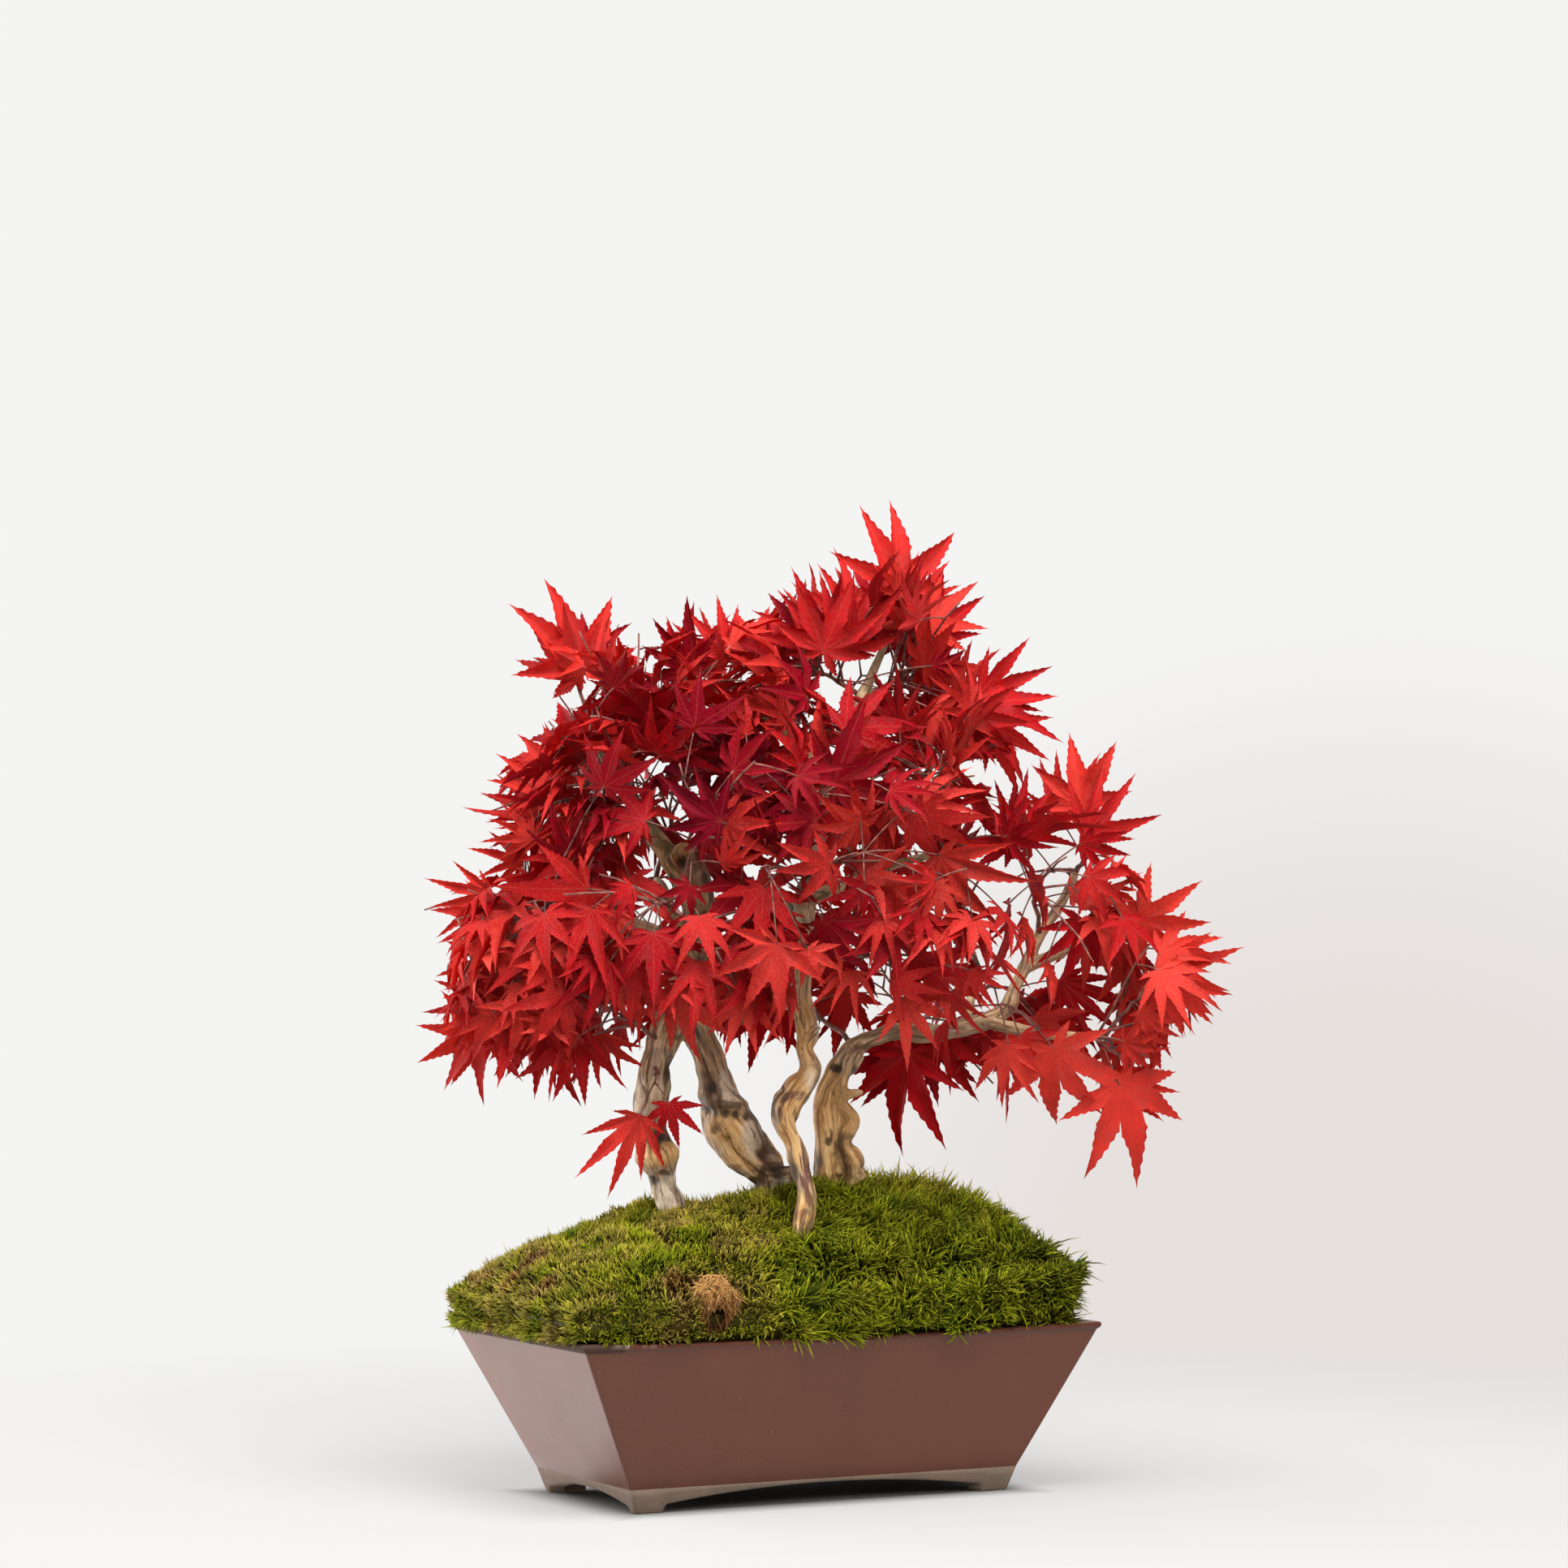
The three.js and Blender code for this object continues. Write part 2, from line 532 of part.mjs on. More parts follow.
function leafFits(leaf, sticks, placed) {
  const lines = leafLines(leaf);
  if (!lines.every(([, tip]) => inCrown(tip))) return false;
  if (sticks.some(([a, b, radius]) => pierces(leaf, a, b, radius))) return false;
  for (const other of placed) {
    if (other.centre.distanceTo(leaf.centre) > other.size + leaf.size + PETIOLE[1]) continue;
    if (pierces(other, leaf.start, leaf.centre, PETIOLE_RADIUS)) return false;
    if (pierces(leaf, other.start, other.centre, PETIOLE_RADIUS)) return false;
    if (lines.some(([a, b]) => pierces(other, a, b, 0))) return false;
    if (other.lines.some(([a, b]) => pierces(leaf, a, b, 0))) return false;
  }
  leaf.lines = lines;
  return true;
}

function randomVector(draw) {
  return new THREE.Vector3(draw() - 0.5, draw() - 0.5, draw() - 0.5);
}

// The first leaf ends the twig; the others stand in crossed pairs behind it. Blades lean
// outwards and sink lower down, and face the side of the crown that they grow on.
function tryLeaf(twig, index, draw) {
  const pair = Math.ceil(index / 2);
  const { point: start, tangent } = twig.at(1 - PAIR_STEP * Math.max(0, pair - 0.8));
  const [side, forward] = sectionFrame(tangent, TWIG_ACROSS);
  const around = Math.PI * (index % 2) + PAIR_TURN * pair + twig.phase + (draw() - 0.5);
  const spread = index === 0 ? END_SPREAD : lerp(...STALK_SPREAD, draw());
  const stalk = tangent.clone().multiplyScalar(Math.cos(spread))
    .addScaledVector(side, Math.sin(spread) * Math.cos(around))
    .addScaledVector(forward, Math.sin(spread) * Math.sin(around));
  const centre = start.clone().addScaledVector(stalk, lerp(...PETIOLE, draw()));
  const outward = centre.clone().sub(turned(CROWN_MIDDLE)).normalize();
  const [sunk, level] = SINK_LEVELS;
  const sink = clamp((level - centre.z) / (level - sunk), 0, 1);
  const along = stalk.clone().multiplyScalar(0.55).addScaledVector(outward, 0.7)
    .add(randomVector(draw)).addScaledVector(UP, -0.9 * sink).normalize();
  const view = turned([0, 1, 0]);
  const facing = clamp(centre.dot(view) / 40 + 2 * (draw() - 0.5), -1, 1);
  const normal = outward.clone().multiplyScalar(0.5).addScaledVector(UP, 0.5)
    .addScaledVector(view, 0.9 * facing).add(randomVector(draw));
  normal.addScaledVector(along, -normal.dot(along)).normalize();
  const size = lerp(...LEAF_SIZE, draw());
  return { start, centre, along, normal, side: normal.clone().cross(along), size, stalk };
}

function nearestStation(tip, stations) {
  const cost = ({ point }) => point.distanceTo(tip) + 0.6 * Math.max(0, point.z - tip.z);
  return stations.reduce((best, station) => (cost(station) < cost(best) ? station : best));
}

function makeTwig(row, index, stations) {
  const tip = turned(row);
  const base = nearestStation(tip, stations);
  const length = base.point.distanceTo(tip);
  const middle = base.point.clone().lerp(tip, 0.5);
  middle.z += TWIG_LIFT * length;
  const curve = new THREE.QuadraticBezierCurve3(base.point, middle, tip);
  return { at: (t) => ({ point: curve.getPoint(t), tangent: curve.getTangent(t) }), phase: index };
}

function sticksOf(stations, gapBefore) {
  const sticks = [];
  for (let i = 1; i < stations.length; i++) {
    const [before, after] = [stations[i - 1], stations[i]];
    if (!gapBefore || before.limb === after.limb) {
      sticks.push([before.point, after.point, Math.max(before.radius, after.radius)]);
    }
  }
  return sticks;
}

function twigStations(twig) {
  return Array.from({ length: TWIG_STEPS + 1 }, (_, i) => {
    const t = i / TWIG_STEPS;
    return { ...twig.at(t), radius: TWIG_RADIUS * lerp(1, 0.55, t) };
  });
}

function growSprays() {
  const limbs = Object.values(TRUNKS).flatMap(({ stems, branches }) => [...stems, ...branches]);
  const wood = limbs.flatMap((rows, id) => limbStations(rows).map((s) => ({ ...s, limb: id })));
  const perches = wood.filter(({ point }) => point.z > TWIG_LEVEL);
  const twigs = SPRAYS.map((row, index) => makeTwig(row, index, perches));
  const sticks = [...sticksOf(wood, true), ...twigs.flatMap((twig) => sticksOf(twigStations(twig)))];
  const placed = [];
  return twigs.map((twig, spray) => {
    const leaves = [];
    for (let index = 0; index < SPRAYS[spray][3]; index++) {
      for (let attempt = 0; attempt < LEAF_TRIES; attempt++) {
        const leaf = tryLeaf(twig, index, drawsFor(spray, index, attempt));
        if (leaf.along.dot(leaf.stalk) < LEAST_BEND || !leafFits(leaf, sticks, placed)) continue;
        placed.push(leaf);
        leaves.push(leaf);
        break;
      }
    }
    return { twig, leaves };
  });
}

// A leaf with its stalk: two fans over one outline, and a three-sided stalk from its heel
function leafSolid(leaf, grow) {
  const { centre, along, side, normal, start, stalk } = leaf;
  const rim = wholeOutline().map(([angle, reach]) => leafPoint(leaf, angle, reach, grow));
  const heel = centre.clone().addScaledVector(along, -HEEL - grow);
  const thick = LEAF_THICK + grow;
  const radius = PETIOLE_RADIUS + grow;
  rim.push(heel.clone().addScaledVector(side, radius), heel.clone().addScaledVector(side, -radius));
  const top = rim.length;
  const acrossStalk = side.clone().addScaledVector(stalk, -side.dot(stalk)).normalize();
  const overStalk = stalk.clone().cross(acrossStalk);
  const points = [
    ...rim,
    centre.clone().addScaledVector(normal, thick),
    centre.clone().addScaledVector(normal, -thick),
    start.clone().addScaledVector(acrossStalk, radius).addScaledVector(overStalk, -radius / 2),
    start.clone().addScaledVector(acrossStalk, -radius).addScaledVector(overStalk, -radius / 2),
    start.clone().addScaledVector(overStalk, radius),
  ];
  const triangles = [];
  for (let i = 0; i < top; i++) {
    const j = (i + 1) % top;
    if (i !== top - 2) triangles.push([top, i, j]);
    triangles.push([top + 1, j, i]);
  }
  const [heelA, heelB, startA, startB, startTop] = [top - 2, top - 1, top + 2, top + 3, top + 4];
  triangles.push(
    ...quad(top, heelA, startA, startTop),
    ...quad(heelA, heelB, startB, startA),
    ...quad(heelB, top, startTop, startB),
    [startTop, startA, startB],
  );
  return solidFrom(points, triangles);
}

function twigSolid(twig, grow) {
  const stations = twigStations(twig);
  const points = [];
  for (const { point, tangent, radius } of stations) {
    const [side, forward] = sectionFrame(tangent, TWIG_ACROSS);
    for (const angle of [0, 120, 240].map(degToRad)) {
      points.push(point.clone()
        .addScaledVector(side, (radius + grow) * Math.cos(angle))
        .addScaledVector(forward, (radius + grow) * Math.sin(angle)));
    }
  }
  const triangles = [[2, 1, 0]];
  const last = 3 * TWIG_STEPS;
  for (let i = 0; i < TWIG_STEPS; i++) {
    for (let k = 0; k < 3; k++) {
      const [a, b] = [3 * i + k, 3 * i + ((k + 1) % 3)];
      triangles.push(...quad(a, b, b + 3, a + 3));
    }
  }
  triangles.push([last, last + 1, last + 2]);
  return solidFrom(points, triangles);
}

function spraySolid({ twig, leaves }, grow) {
  return wasm.Manifold.union([twigSolid(twig, grow), ...leaves.map((leaf) => leafSolid(leaf, grow))]);
}

function boxesMeet(a, b) {
  return [0, 1, 2].every((k) => a.min[k] <= b.max[k] && b.min[k] <= a.max[k]);
}

// Sprays are cut clear of the wood they are set in and of every spray made before them
function makeSprays(wood) {
  const done = [];
  return growSprays().map((spray) => {
    let solid = spraySolid(spray, 0).subtract(wood);
    for (const other of done) {
      if (!boxesMeet(solid.boundingBox(), other.boundingBox())) continue;
      if (solid.intersect(other).isEmpty()) continue;
      solid = solid.subtract(other);
    }
    done.push(spraySolid(spray, GAP));
    return largestOf(solid);
  });
}

// ---------- assembly ----------

function makeMesh(name, solid, color, roughness) {
  const material = new THREE.MeshStandardMaterial({ color, roughness, metalness: 0 });
  const mesh = new THREE.Mesh(geometryOf(solid), material);
  mesh.name = name;
  return mesh;
}

function assemble() {
  const grown = Object.fromEntries(
    Object.entries(TRUNKS).map(([name, trunk]) => [name, makeTrunk(trunk, GAP)]),
  );
  const wood = wasm.Manifold.union(Object.values(grown));
  const clumpPocket = makeClump(GAP);
  const pieces = new THREE.Group();
  const add = (...piece) => pieces.add(makeMesh(...piece));

  add('pot', makePot(), COLOURS.glaze, 0.25);
  add('pot_foot_ring', makeFootRing(), COLOURS.bareClay, 0.9);
  add('drain_mesh_left', makeDrainMesh(-DRAIN_X), COLOURS.mesh, 0.6);
  add('drain_mesh_right', makeDrainMesh(DRAIN_X), COLOURS.mesh, 0.6);
  add('soil', makeSoil(wood), COLOURS.soil, 1);

  const [c0, c1, c2, c3, c4] = MOSS_COLUMNS;
  const cushions = {
    moss_left: [c0, c1, -1, 1],
    moss_front_left: [c1, c2, -1, MOSS_SPLIT],
    moss_front_centre: [c2, c3, -1, MOSS_SPLIT],
    moss_front_right: [c3, c4, -1, MOSS_SPLIT],
    moss_back_left: [c1, c2, MOSS_SPLIT, 1],
    moss_back_centre: [c2, c3, MOSS_SPLIT, 1],
    moss_back_right: [c3, c4, MOSS_SPLIT, 1],
  };
  const pockets = wood.add(clumpPocket);
  for (const [index, [name, cell]] of Object.entries(cushions).entries()) {
    add(name, makeCushion(...cell, pockets), COLOURS.moss[index], 0.95);
  }
  add('dried_moss_clump', makeClump(0), COLOURS.dried, 1);

  let standing = null;
  for (const [name, trunk] of Object.entries(TRUNKS)) {
    const solid = makeTrunk(trunk, 0);
    add(name, standing ? largestOf(solid.subtract(standing)) : solid, COLOURS.wood, 0.8);
    standing = standing ? standing.add(grown[name]) : grown[name];
  }
  for (const [index, solid] of makeSprays(wood).entries()) {
    const name = `leaf_spray_${String(index + 1).padStart(2, '0')}`;
    add(name, solid, COLOURS.leaf[index % COLOURS.leaf.length], 0.65);
  }
  return pieces;
}

// The origin is under the middle of the whole object, on the floor
const bonsai = new THREE.Group();
const pieces = assemble();
const middle = new THREE.Box3().setFromObject(pieces).getCenter(new THREE.Vector3());
pieces.position.set(-middle.x, -middle.y, 0);
bonsai.add(pieces);

export default bonsai;
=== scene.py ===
# A red maple bonsai in its pot, seen close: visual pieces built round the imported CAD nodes.
# Shapes are worked out in millimetres about the pot's middle on the floor, along the pot's own
# axes. Places on the tree are [across, away, up] for a viewer who faces the pot's front corner.
import itertools
import math

import bpy
import numpy as np
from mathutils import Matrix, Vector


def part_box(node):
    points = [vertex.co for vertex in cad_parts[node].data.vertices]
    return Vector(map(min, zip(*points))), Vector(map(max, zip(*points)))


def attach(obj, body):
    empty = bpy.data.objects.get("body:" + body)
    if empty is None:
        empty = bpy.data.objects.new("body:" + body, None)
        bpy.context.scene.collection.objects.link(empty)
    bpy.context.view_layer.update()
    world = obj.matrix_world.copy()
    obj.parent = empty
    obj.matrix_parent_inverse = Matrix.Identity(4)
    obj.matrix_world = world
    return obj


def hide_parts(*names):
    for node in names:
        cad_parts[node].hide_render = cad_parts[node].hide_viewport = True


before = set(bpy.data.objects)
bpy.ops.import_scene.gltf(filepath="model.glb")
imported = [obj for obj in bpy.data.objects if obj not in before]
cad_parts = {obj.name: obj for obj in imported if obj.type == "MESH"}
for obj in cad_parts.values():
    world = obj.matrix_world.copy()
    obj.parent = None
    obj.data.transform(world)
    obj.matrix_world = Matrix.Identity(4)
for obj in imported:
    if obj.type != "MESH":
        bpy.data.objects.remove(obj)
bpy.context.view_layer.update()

mm = 0.001
potLow, potHigh = (np.array(corner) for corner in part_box("pot"))
potMiddle = np.append((potLow + potHigh)[:2] / 2, 0.0)
# how far the viewer's axes are turned from the pot's
viewTurn = math.radians(28)
skyward = np.array([0.0, 0.0, 1.0])
offAxis = np.array([0.6, 0.8, 0.1])


def unit(vectors):
    return vectors / np.linalg.norm(vectors, axis=-1, keepdims=True)


def dot(first, second):
    return (first * second).sum(-1)


def together(*parts):
    # numbers of the same shape side by side, as the places or directions that they make up
    return np.stack(parts, -1)


def blend(low, high, share):
    return low + (high - low) * share


def smoothStep(value, low, high):
    share = np.clip((value - low) / (high - low), 0, 1)
    return share * share * (3 - 2 * share)


def turned(rows):
    # rotation about the upright axis, from the viewer's axes to the pot's
    rows = np.asarray(rows, float)
    across, away, up = rows[..., 0], rows[..., 1], rows[..., 2]
    cos, sin = math.cos(viewTurn), math.sin(viewTurn)
    return together(across * cos + away * sin, away * cos - across * sin, up)


def viewed(points):
    # the reverse of turned
    x, y = points[..., 0], points[..., 1]
    cos, sin = math.cos(viewTurn), math.sin(viewTurn)
    return together(x * cos - y * sin, x * sin + y * cos, points[..., 2])


def sectionFrame(tangent, before):
    # the part of one direction that is square to the tangent, and their cross product
    side = unit(before - tangent * dot(tangent, before)[..., None])
    return side, np.cross(tangent, side)


def cornerDraw(cells, seed):
    # the digits after the point of a large sine: a number from 0 to 1 for each grid corner
    mixed = cells @ np.array([12.9898, 78.233, 37.719]) + seed * 3.137
    return np.modf(np.abs(np.sin(mixed)) * 43758.5453)[0]


def softNoise(points, size, seed=0.0):
    # value noise: draws at the corners of a grid, blended with a smooth step along each axis
    scaled = points / size
    base = np.floor(scaled)
    part = scaled - base
    part = part * part * (3 - 2 * part)
    total = np.zeros(points.shape[:-1])
    for corner in itertools.product((0, 1), repeat=3):
        weight = np.where(np.array(corner) == 1, part, 1 - part).prod(-1)
        total += weight * cornerDraw(base + corner, seed)
    return total


def ridges(points, size, seed=0.0):
    # 1 along sharp crests, 0 between them
    return 1 - np.abs(2 * softNoise(points, size, seed) - 1)


def threeNoises(points, size, seed):
    # a noise of its own for each axis, about 0
    return np.stack([softNoise(points, size, seed + axis) for axis in range(3)], -1) - 0.5


def threeDraws(cells, seed):
    return np.stack([cornerDraw(cells, seed + axis) for axis in range(3)], -1)


def ringAngles(count):
    return 2 * math.pi * np.arange(count) / count


def surface(name, points, blocks, materials, uv=None, pick=None, fields=None, sharp=None):
    # blocks are arrays of faces with the same number of corners; uv and pick follow them
    corners = np.concatenate([block.ravel() for block in blocks]).astype(np.int32)
    sides = np.concatenate([np.full(len(block), block.shape[1]) for block in blocks])
    mesh = bpy.data.meshes.new(name)
    mesh.vertices.add(len(points))
    placed = np.asarray(points) * mm + potMiddle
    mesh.vertices.foreach_set("co", placed.astype(np.float32).ravel())
    mesh.loops.add(len(corners))
    mesh.loops.foreach_set("vertex_index", corners)
    mesh.polygons.add(len(sides))
    starts = np.concatenate([[0], np.cumsum(sides)[:-1]])
    mesh.polygons.foreach_set("loop_start", starts.astype(np.int32))
    mesh.polygons.foreach_set("use_smooth", np.ones(len(sides), bool))
    for material in materials:
        mesh.materials.append(material)
    if pick is not None:
        mesh.polygons.foreach_set("material_index", np.concatenate(pick).astype(np.int32))
    mesh.update(calc_edges=True)
    if uv is not None:
        flat = np.concatenate([block.reshape(-1, 2) for block in uv])
        layer = mesh.uv_layers.new(name="OFBake")
        layer.uv.foreach_set("vector", flat.astype(np.float32).ravel())
    for key, values in (fields or {}).items():
        kind, slotName = ("FLOAT", "value") if values.ndim == 1 else ("FLOAT_VECTOR", "vector")
        layer = mesh.attributes.new(key, kind, "POINT")
        layer.data.foreach_set(slotName, values.astype(np.float32).ravel())
    if sharp is not None:
        ends = readOut(mesh.edges, "vertices", np.int32, 2)
        edges = mesh.attributes.new("sharp_edge", "BOOLEAN", "EDGE")
        edges.data.foreach_set("value", sharp[ends.reshape(-1, 2)].all(1))
    piece = bpy.data.objects.new(name, mesh)
    bpy.context.scene.collection.objects.link(piece)
    return piece


def readOut(items, key, kind, width=1):
    # one value of every point, edge, corner or face of a mesh, as a flat array
    values = np.zeros(len(items) * width, kind)
    items.foreach_get(key, values)
    return values


def settle(piece, slotName, *nodes):
    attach(piece, "root")
    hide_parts(*nodes)


def tubes(paths, radii, sides):
    # circles square to each path: paths (n, k, 3), radii (n, k); ends closed by one face each
    count, steps = paths.shape[:2]
    side, over = sectionFrame(unit(np.gradient(paths, axis=1)), offAxis)
    angle, corner = ringAngles(sides), np.arange(sides)
    ring = side[:, :, None] * np.cos(angle)[:, None] + over[:, :, None] * np.sin(angle)[:, None]
    points = paths[:, :, None] + radii[:, :, None, None] * ring
    first = np.arange(count)[:, None, None] * steps * sides
    rows = first + np.arange(steps - 1)[None, :, None] * sides
    low, turn = rows + corner, rows + (corner + 1) % sides
    walls = together(low, turn, turn + sides, low + sides).reshape(-1, 4)
    base = first[:, 0]
    caps = np.concatenate([base + corner[::-1], base + (steps - 1) * sides + corner])
    return points.reshape(-1, 3), walls, caps


def sheetShell(top, bottom):
    # two grids of points (rows, columns, 3) over each other, joined round their edge
    rows, columns = top.shape[:2]
    index = np.arange(rows * columns).reshape(rows, columns)
    a, b, c, d = index[:-1, :-1], index[:-1, 1:], index[1:, 1:], index[1:, :-1]
    upper = together(a, b, c, d).reshape(-1, 4)
    lower = upper[:, ::-1] + rows * columns
    rim = np.concatenate([index[0], index[1:, -1], index[-1, -2::-1], index[-2:0:-1, 0]])
    after = np.roll(rim, -1)
    walls = together(rim + rows * columns, after + rows * columns, after, rim)
    return np.concatenate([top.reshape(-1, 3), bottom.reshape(-1, 3)]), upper, lower, walls


def feed(tree, socket, source):
    # a link from another socket, or a value of the socket's own; a colour is opaque
    if isinstance(source, bpy.types.NodeSocket):
        tree.links.new(source, socket)
    else:
        socket.default_value = (*source, 1.0) if socket.type == "RGBA" else source


def put(tree, kind, links=None, **settings):
    node = tree.nodes.new(kind)
    for key, value in settings.items():
        setattr(node, key, value)
    for key, source in (links or {}).items():
        feed(tree, node.inputs[key], source)
    return node


def calc(tree, operation, *numbers):
    # a sum of up to three sockets or plain numbers
    return put(tree, "ShaderNodeMath", dict(enumerate(numbers)), operation=operation).outputs[0]


def times(tree, first, second):
    return calc(tree, "MULTIPLY", first, second)


def vectorCalc(tree, operation, *vectors):
    # a dot product and a length come out as a number, other sums as a vector
    node = put(tree, "ShaderNodeVectorMath", dict(enumerate(vectors)), operation=operation)
    return node.outputs["Value" if operation in ("DOT_PRODUCT", "LENGTH") else "Vector"]


def mapped(tree, value, low, high, toLow=0.0, toHigh=1.0, smooth=True):
    # low and below give toLow, high and above give toHigh
    links = {"Value": value, "From Min": low, "From Max": high, "To Min": toLow, "To Max": toHigh}
    way = "SMOOTHSTEP" if smooth else "LINEAR"
    return put(tree, "ShaderNodeMapRange", links, interpolation_type=way).outputs["Result"]


def noiseAt(tree, vector, scale, detail, rough=0.5, bent=0.0):
    links = {"Vector": vector, "Scale": scale, "Detail": detail, "Roughness": rough,
             "Distortion": bent}
    return put(tree, "ShaderNodeTexNoise", links).outputs["Fac"]


def mixColour(tree, share, first, second):
    links = {"Factor": share, 6: first, 7: second}
    return put(tree, "ShaderNodeMix", links, data_type="RGBA").outputs[2]


def ramp(tree, value, stops):
    node = put(tree, "ShaderNodeValToRGB", {"Fac": value})
    bar = node.color_ramp.elements
    while len(bar) < len(stops):
        bar.new(0.5)
    for element, (place, colour) in zip(bar, stops):
        element.position = place
        element.color = (*colour, 1.0)
    return node.outputs["Color"]


def field(tree, name, output="Fac"):
    return put(tree, "ShaderNodeAttribute", attribute_name=name).outputs[output]


def sharedGroup(name, inputs, output):
    # a node group, what comes into it and what it gives; a socket's name settles its kind
    group = bpy.data.node_groups.new(name, "ShaderNodeTree")
    kinds = {"Vector": "NodeSocketVector", "Color": "NodeSocketColor"}
    for key, value in inputs.items():
        kind = kinds.get(key, "NodeSocketFloat")
        socket = group.interface.new_socket(key, in_out="INPUT", socket_type=kind)
        if value is not None:
            socket.default_value = value
    kind = kinds.get(output, "NodeSocketFloat")
    group.interface.new_socket(output, in_out="OUTPUT", socket_type=kind)
    return group, put(group, "NodeGroupInput").outputs, put(group, "NodeGroupOutput").inputs


def makePatchGroup():
    # soft patches: noise with its contrast raised about a threshold
    inputs = {"Vector": None, "Scale": 100.0, "Threshold": 0.5, "Softness": 0.1}
    group, start, end = sharedGroup("Patches", inputs, "Mask")
    mixed = noiseAt(group, start["Vector"], start["Scale"], 4.0)
    low = calc(group, "SUBTRACT", start["Threshold"], start["Softness"])
    high = calc(group, "ADD", start["Threshold"], start["Softness"])
    feed(group, end["Mask"], mapped(group, mixed, low, high))
    return group


def makeTintGroup():
    # a colour made lighter and darker by fine and broad noise
    inputs = {"Vector": None, "Color": None, "Broad Scale": 30.0, "Fine Scale": 900.0, "Amount": 0.2}
    group, start, end = sharedGroup("Tint Variation", inputs, "Color")
    parts = [calc(group, "SUBTRACT", noiseAt(group, start["Vector"], start[key], 3.0), 0.5)
             for key in ("Broad Scale", "Fine Scale")]
    scaled = times(group, calc(group, "ADD", *parts), start["Amount"])
    links = {"Color": start["Color"], "Value": calc(group, "MULTIPLY_ADD", scaled, 2.0, 1.0)}
    shade = put(group, "ShaderNodeHueSaturation", links)
    feed(group, end["Color"], shade.outputs["Color"])
    return group


def makeRaggedGroup():
    # a soft mask given a torn edge: noise is added to it and the sum is cut at a threshold
    inputs = {"Mask": 0.0, "Noise": 0.5, "Spread": 0.9}
    group, start, end = sharedGroup("Ragged Mask", inputs, "Mask")
    shift = times(group, calc(group, "SUBTRACT", start["Noise"], 0.5), start["Spread"])
    torn = mapped(group, calc(group, "ADD", start["Mask"], shift), 0.12, 0.80)
    inside = mapped(group, start["Mask"], 0.0, 0.2, smooth=False)
    feed(group, end["Mask"], times(group, torn, inside))
    return group


patchGroup = makePatchGroup()
tintGroup = makeTintGroup()
raggedGroup = makeRaggedGroup()


def patches(tree, vector, scale, threshold, softness):
    links = {"Vector": vector, "Scale": scale, "Threshold": threshold, "Softness": softness}
    return put(tree, "ShaderNodeGroup", links, node_tree=patchGroup).outputs["Mask"]


def tinted(tree, vector, colour, broad, fine, amount):
    links = {"Vector": vector, "Color": colour, "Broad Scale": broad, "Fine Scale": fine,
             "Amount": amount}
    return put(tree, "ShaderNodeGroup", links, node_tree=tintGroup).outputs["Color"]


def newMaterial(name):
    material = bpy.data.materials.new(name)
    material.use_nodes = True
    tree = material.node_tree
    return material, tree, put(tree, "ShaderNodeTexCoord").outputs["Object"]


def wire(tree, colour, roughness, normal=None, specular=0.5):
    values = {"Base Color": colour, "Roughness": roughness, "Specular IOR Level": specular}
    if normal is not None:
        values["Normal"] = normal
    for key, source in values.items():
        feed(tree, tree.nodes["Principled BSDF"].inputs[key], source)


def bumped(tree, height, strength, distance):
    links = {"Height": height, "Strength": strength, "Distance": distance}
    return put(tree, "ShaderNodeBump", links).outputs["Normal"]


def overlaid(tree, colour, mask, strength, over):
    # another colour laid over the first where the mask is, this strongly
    return mixColour(tree, times(tree, mask, strength), colour, over)


def letThrough(tree, colour, share):
    # this share of the surface is thin stuff that light comes through in the given colour
    thin = put(tree, "ShaderNodeBsdfTranslucent", {"Color": colour})
    links = {"Fac": share, 1: tree.nodes["Principled BSDF"].outputs[0], 2: thin.outputs[0]}
    both = put(tree, "ShaderNodeMixShader", links)
    feed(tree, tree.nodes["Material Output"].inputs["Surface"], both.outputs[0])


shot = {
    "turn": math.radians(27.95),
    "tilt": math.radians(1.70),
    "distance": 2440.6,
    "height": 299.1,
    "sideways": 3.73,
    "lens": 106.2,
}
lookAhead = np.array([math.sin(shot["turn"]), math.cos(shot["turn"]), 0.0])
lookRight = np.array([math.cos(shot["turn"]), -math.sin(shot["turn"]), 0.0])
sightBase = lookRight * shot["sideways"] + skyward * shot["height"]


def makeCamera():
    data = bpy.data.cameras.new("photo_camera")
    data.lens = shot["lens"]
    data.sensor_width = 36.0
    data.clip_start = 0.05
    camera = bpy.data.objects.new("photo_camera", data)
    camera.location = potMiddle + mm * (sightBase - shot["distance"] * lookAhead)
    camera.rotation_euler = (math.pi / 2 + shot["tilt"], 0.0, -shot["turn"])
    bpy.context.scene.collection.objects.link(camera)
    bpy.context.scene.camera = camera


def seen(points):
    # where the camera sees points, as [across, up] on the upright plane through the pot's middle
    away = points @ lookAhead
    shrink = shot["distance"] / (shot["distance"] + away)
    across = shot["sideways"] + (points @ lookRight - shot["sideways"]) * shrink
    up = shot["height"] + (points[..., 2] - shot["height"]) * shrink
    return together(across, up)


def unseen(across, up, away):
    # the point that is seen there, this far behind the plane
    grow = (shot["distance"] + away) / shot["distance"]
    side = shot["sideways"] + (across - shot["sideways"]) * grow
    rise = shot["height"] + (up - shot["height"]) * grow
    return lookRight * side + lookAhead * away + skyward * rise


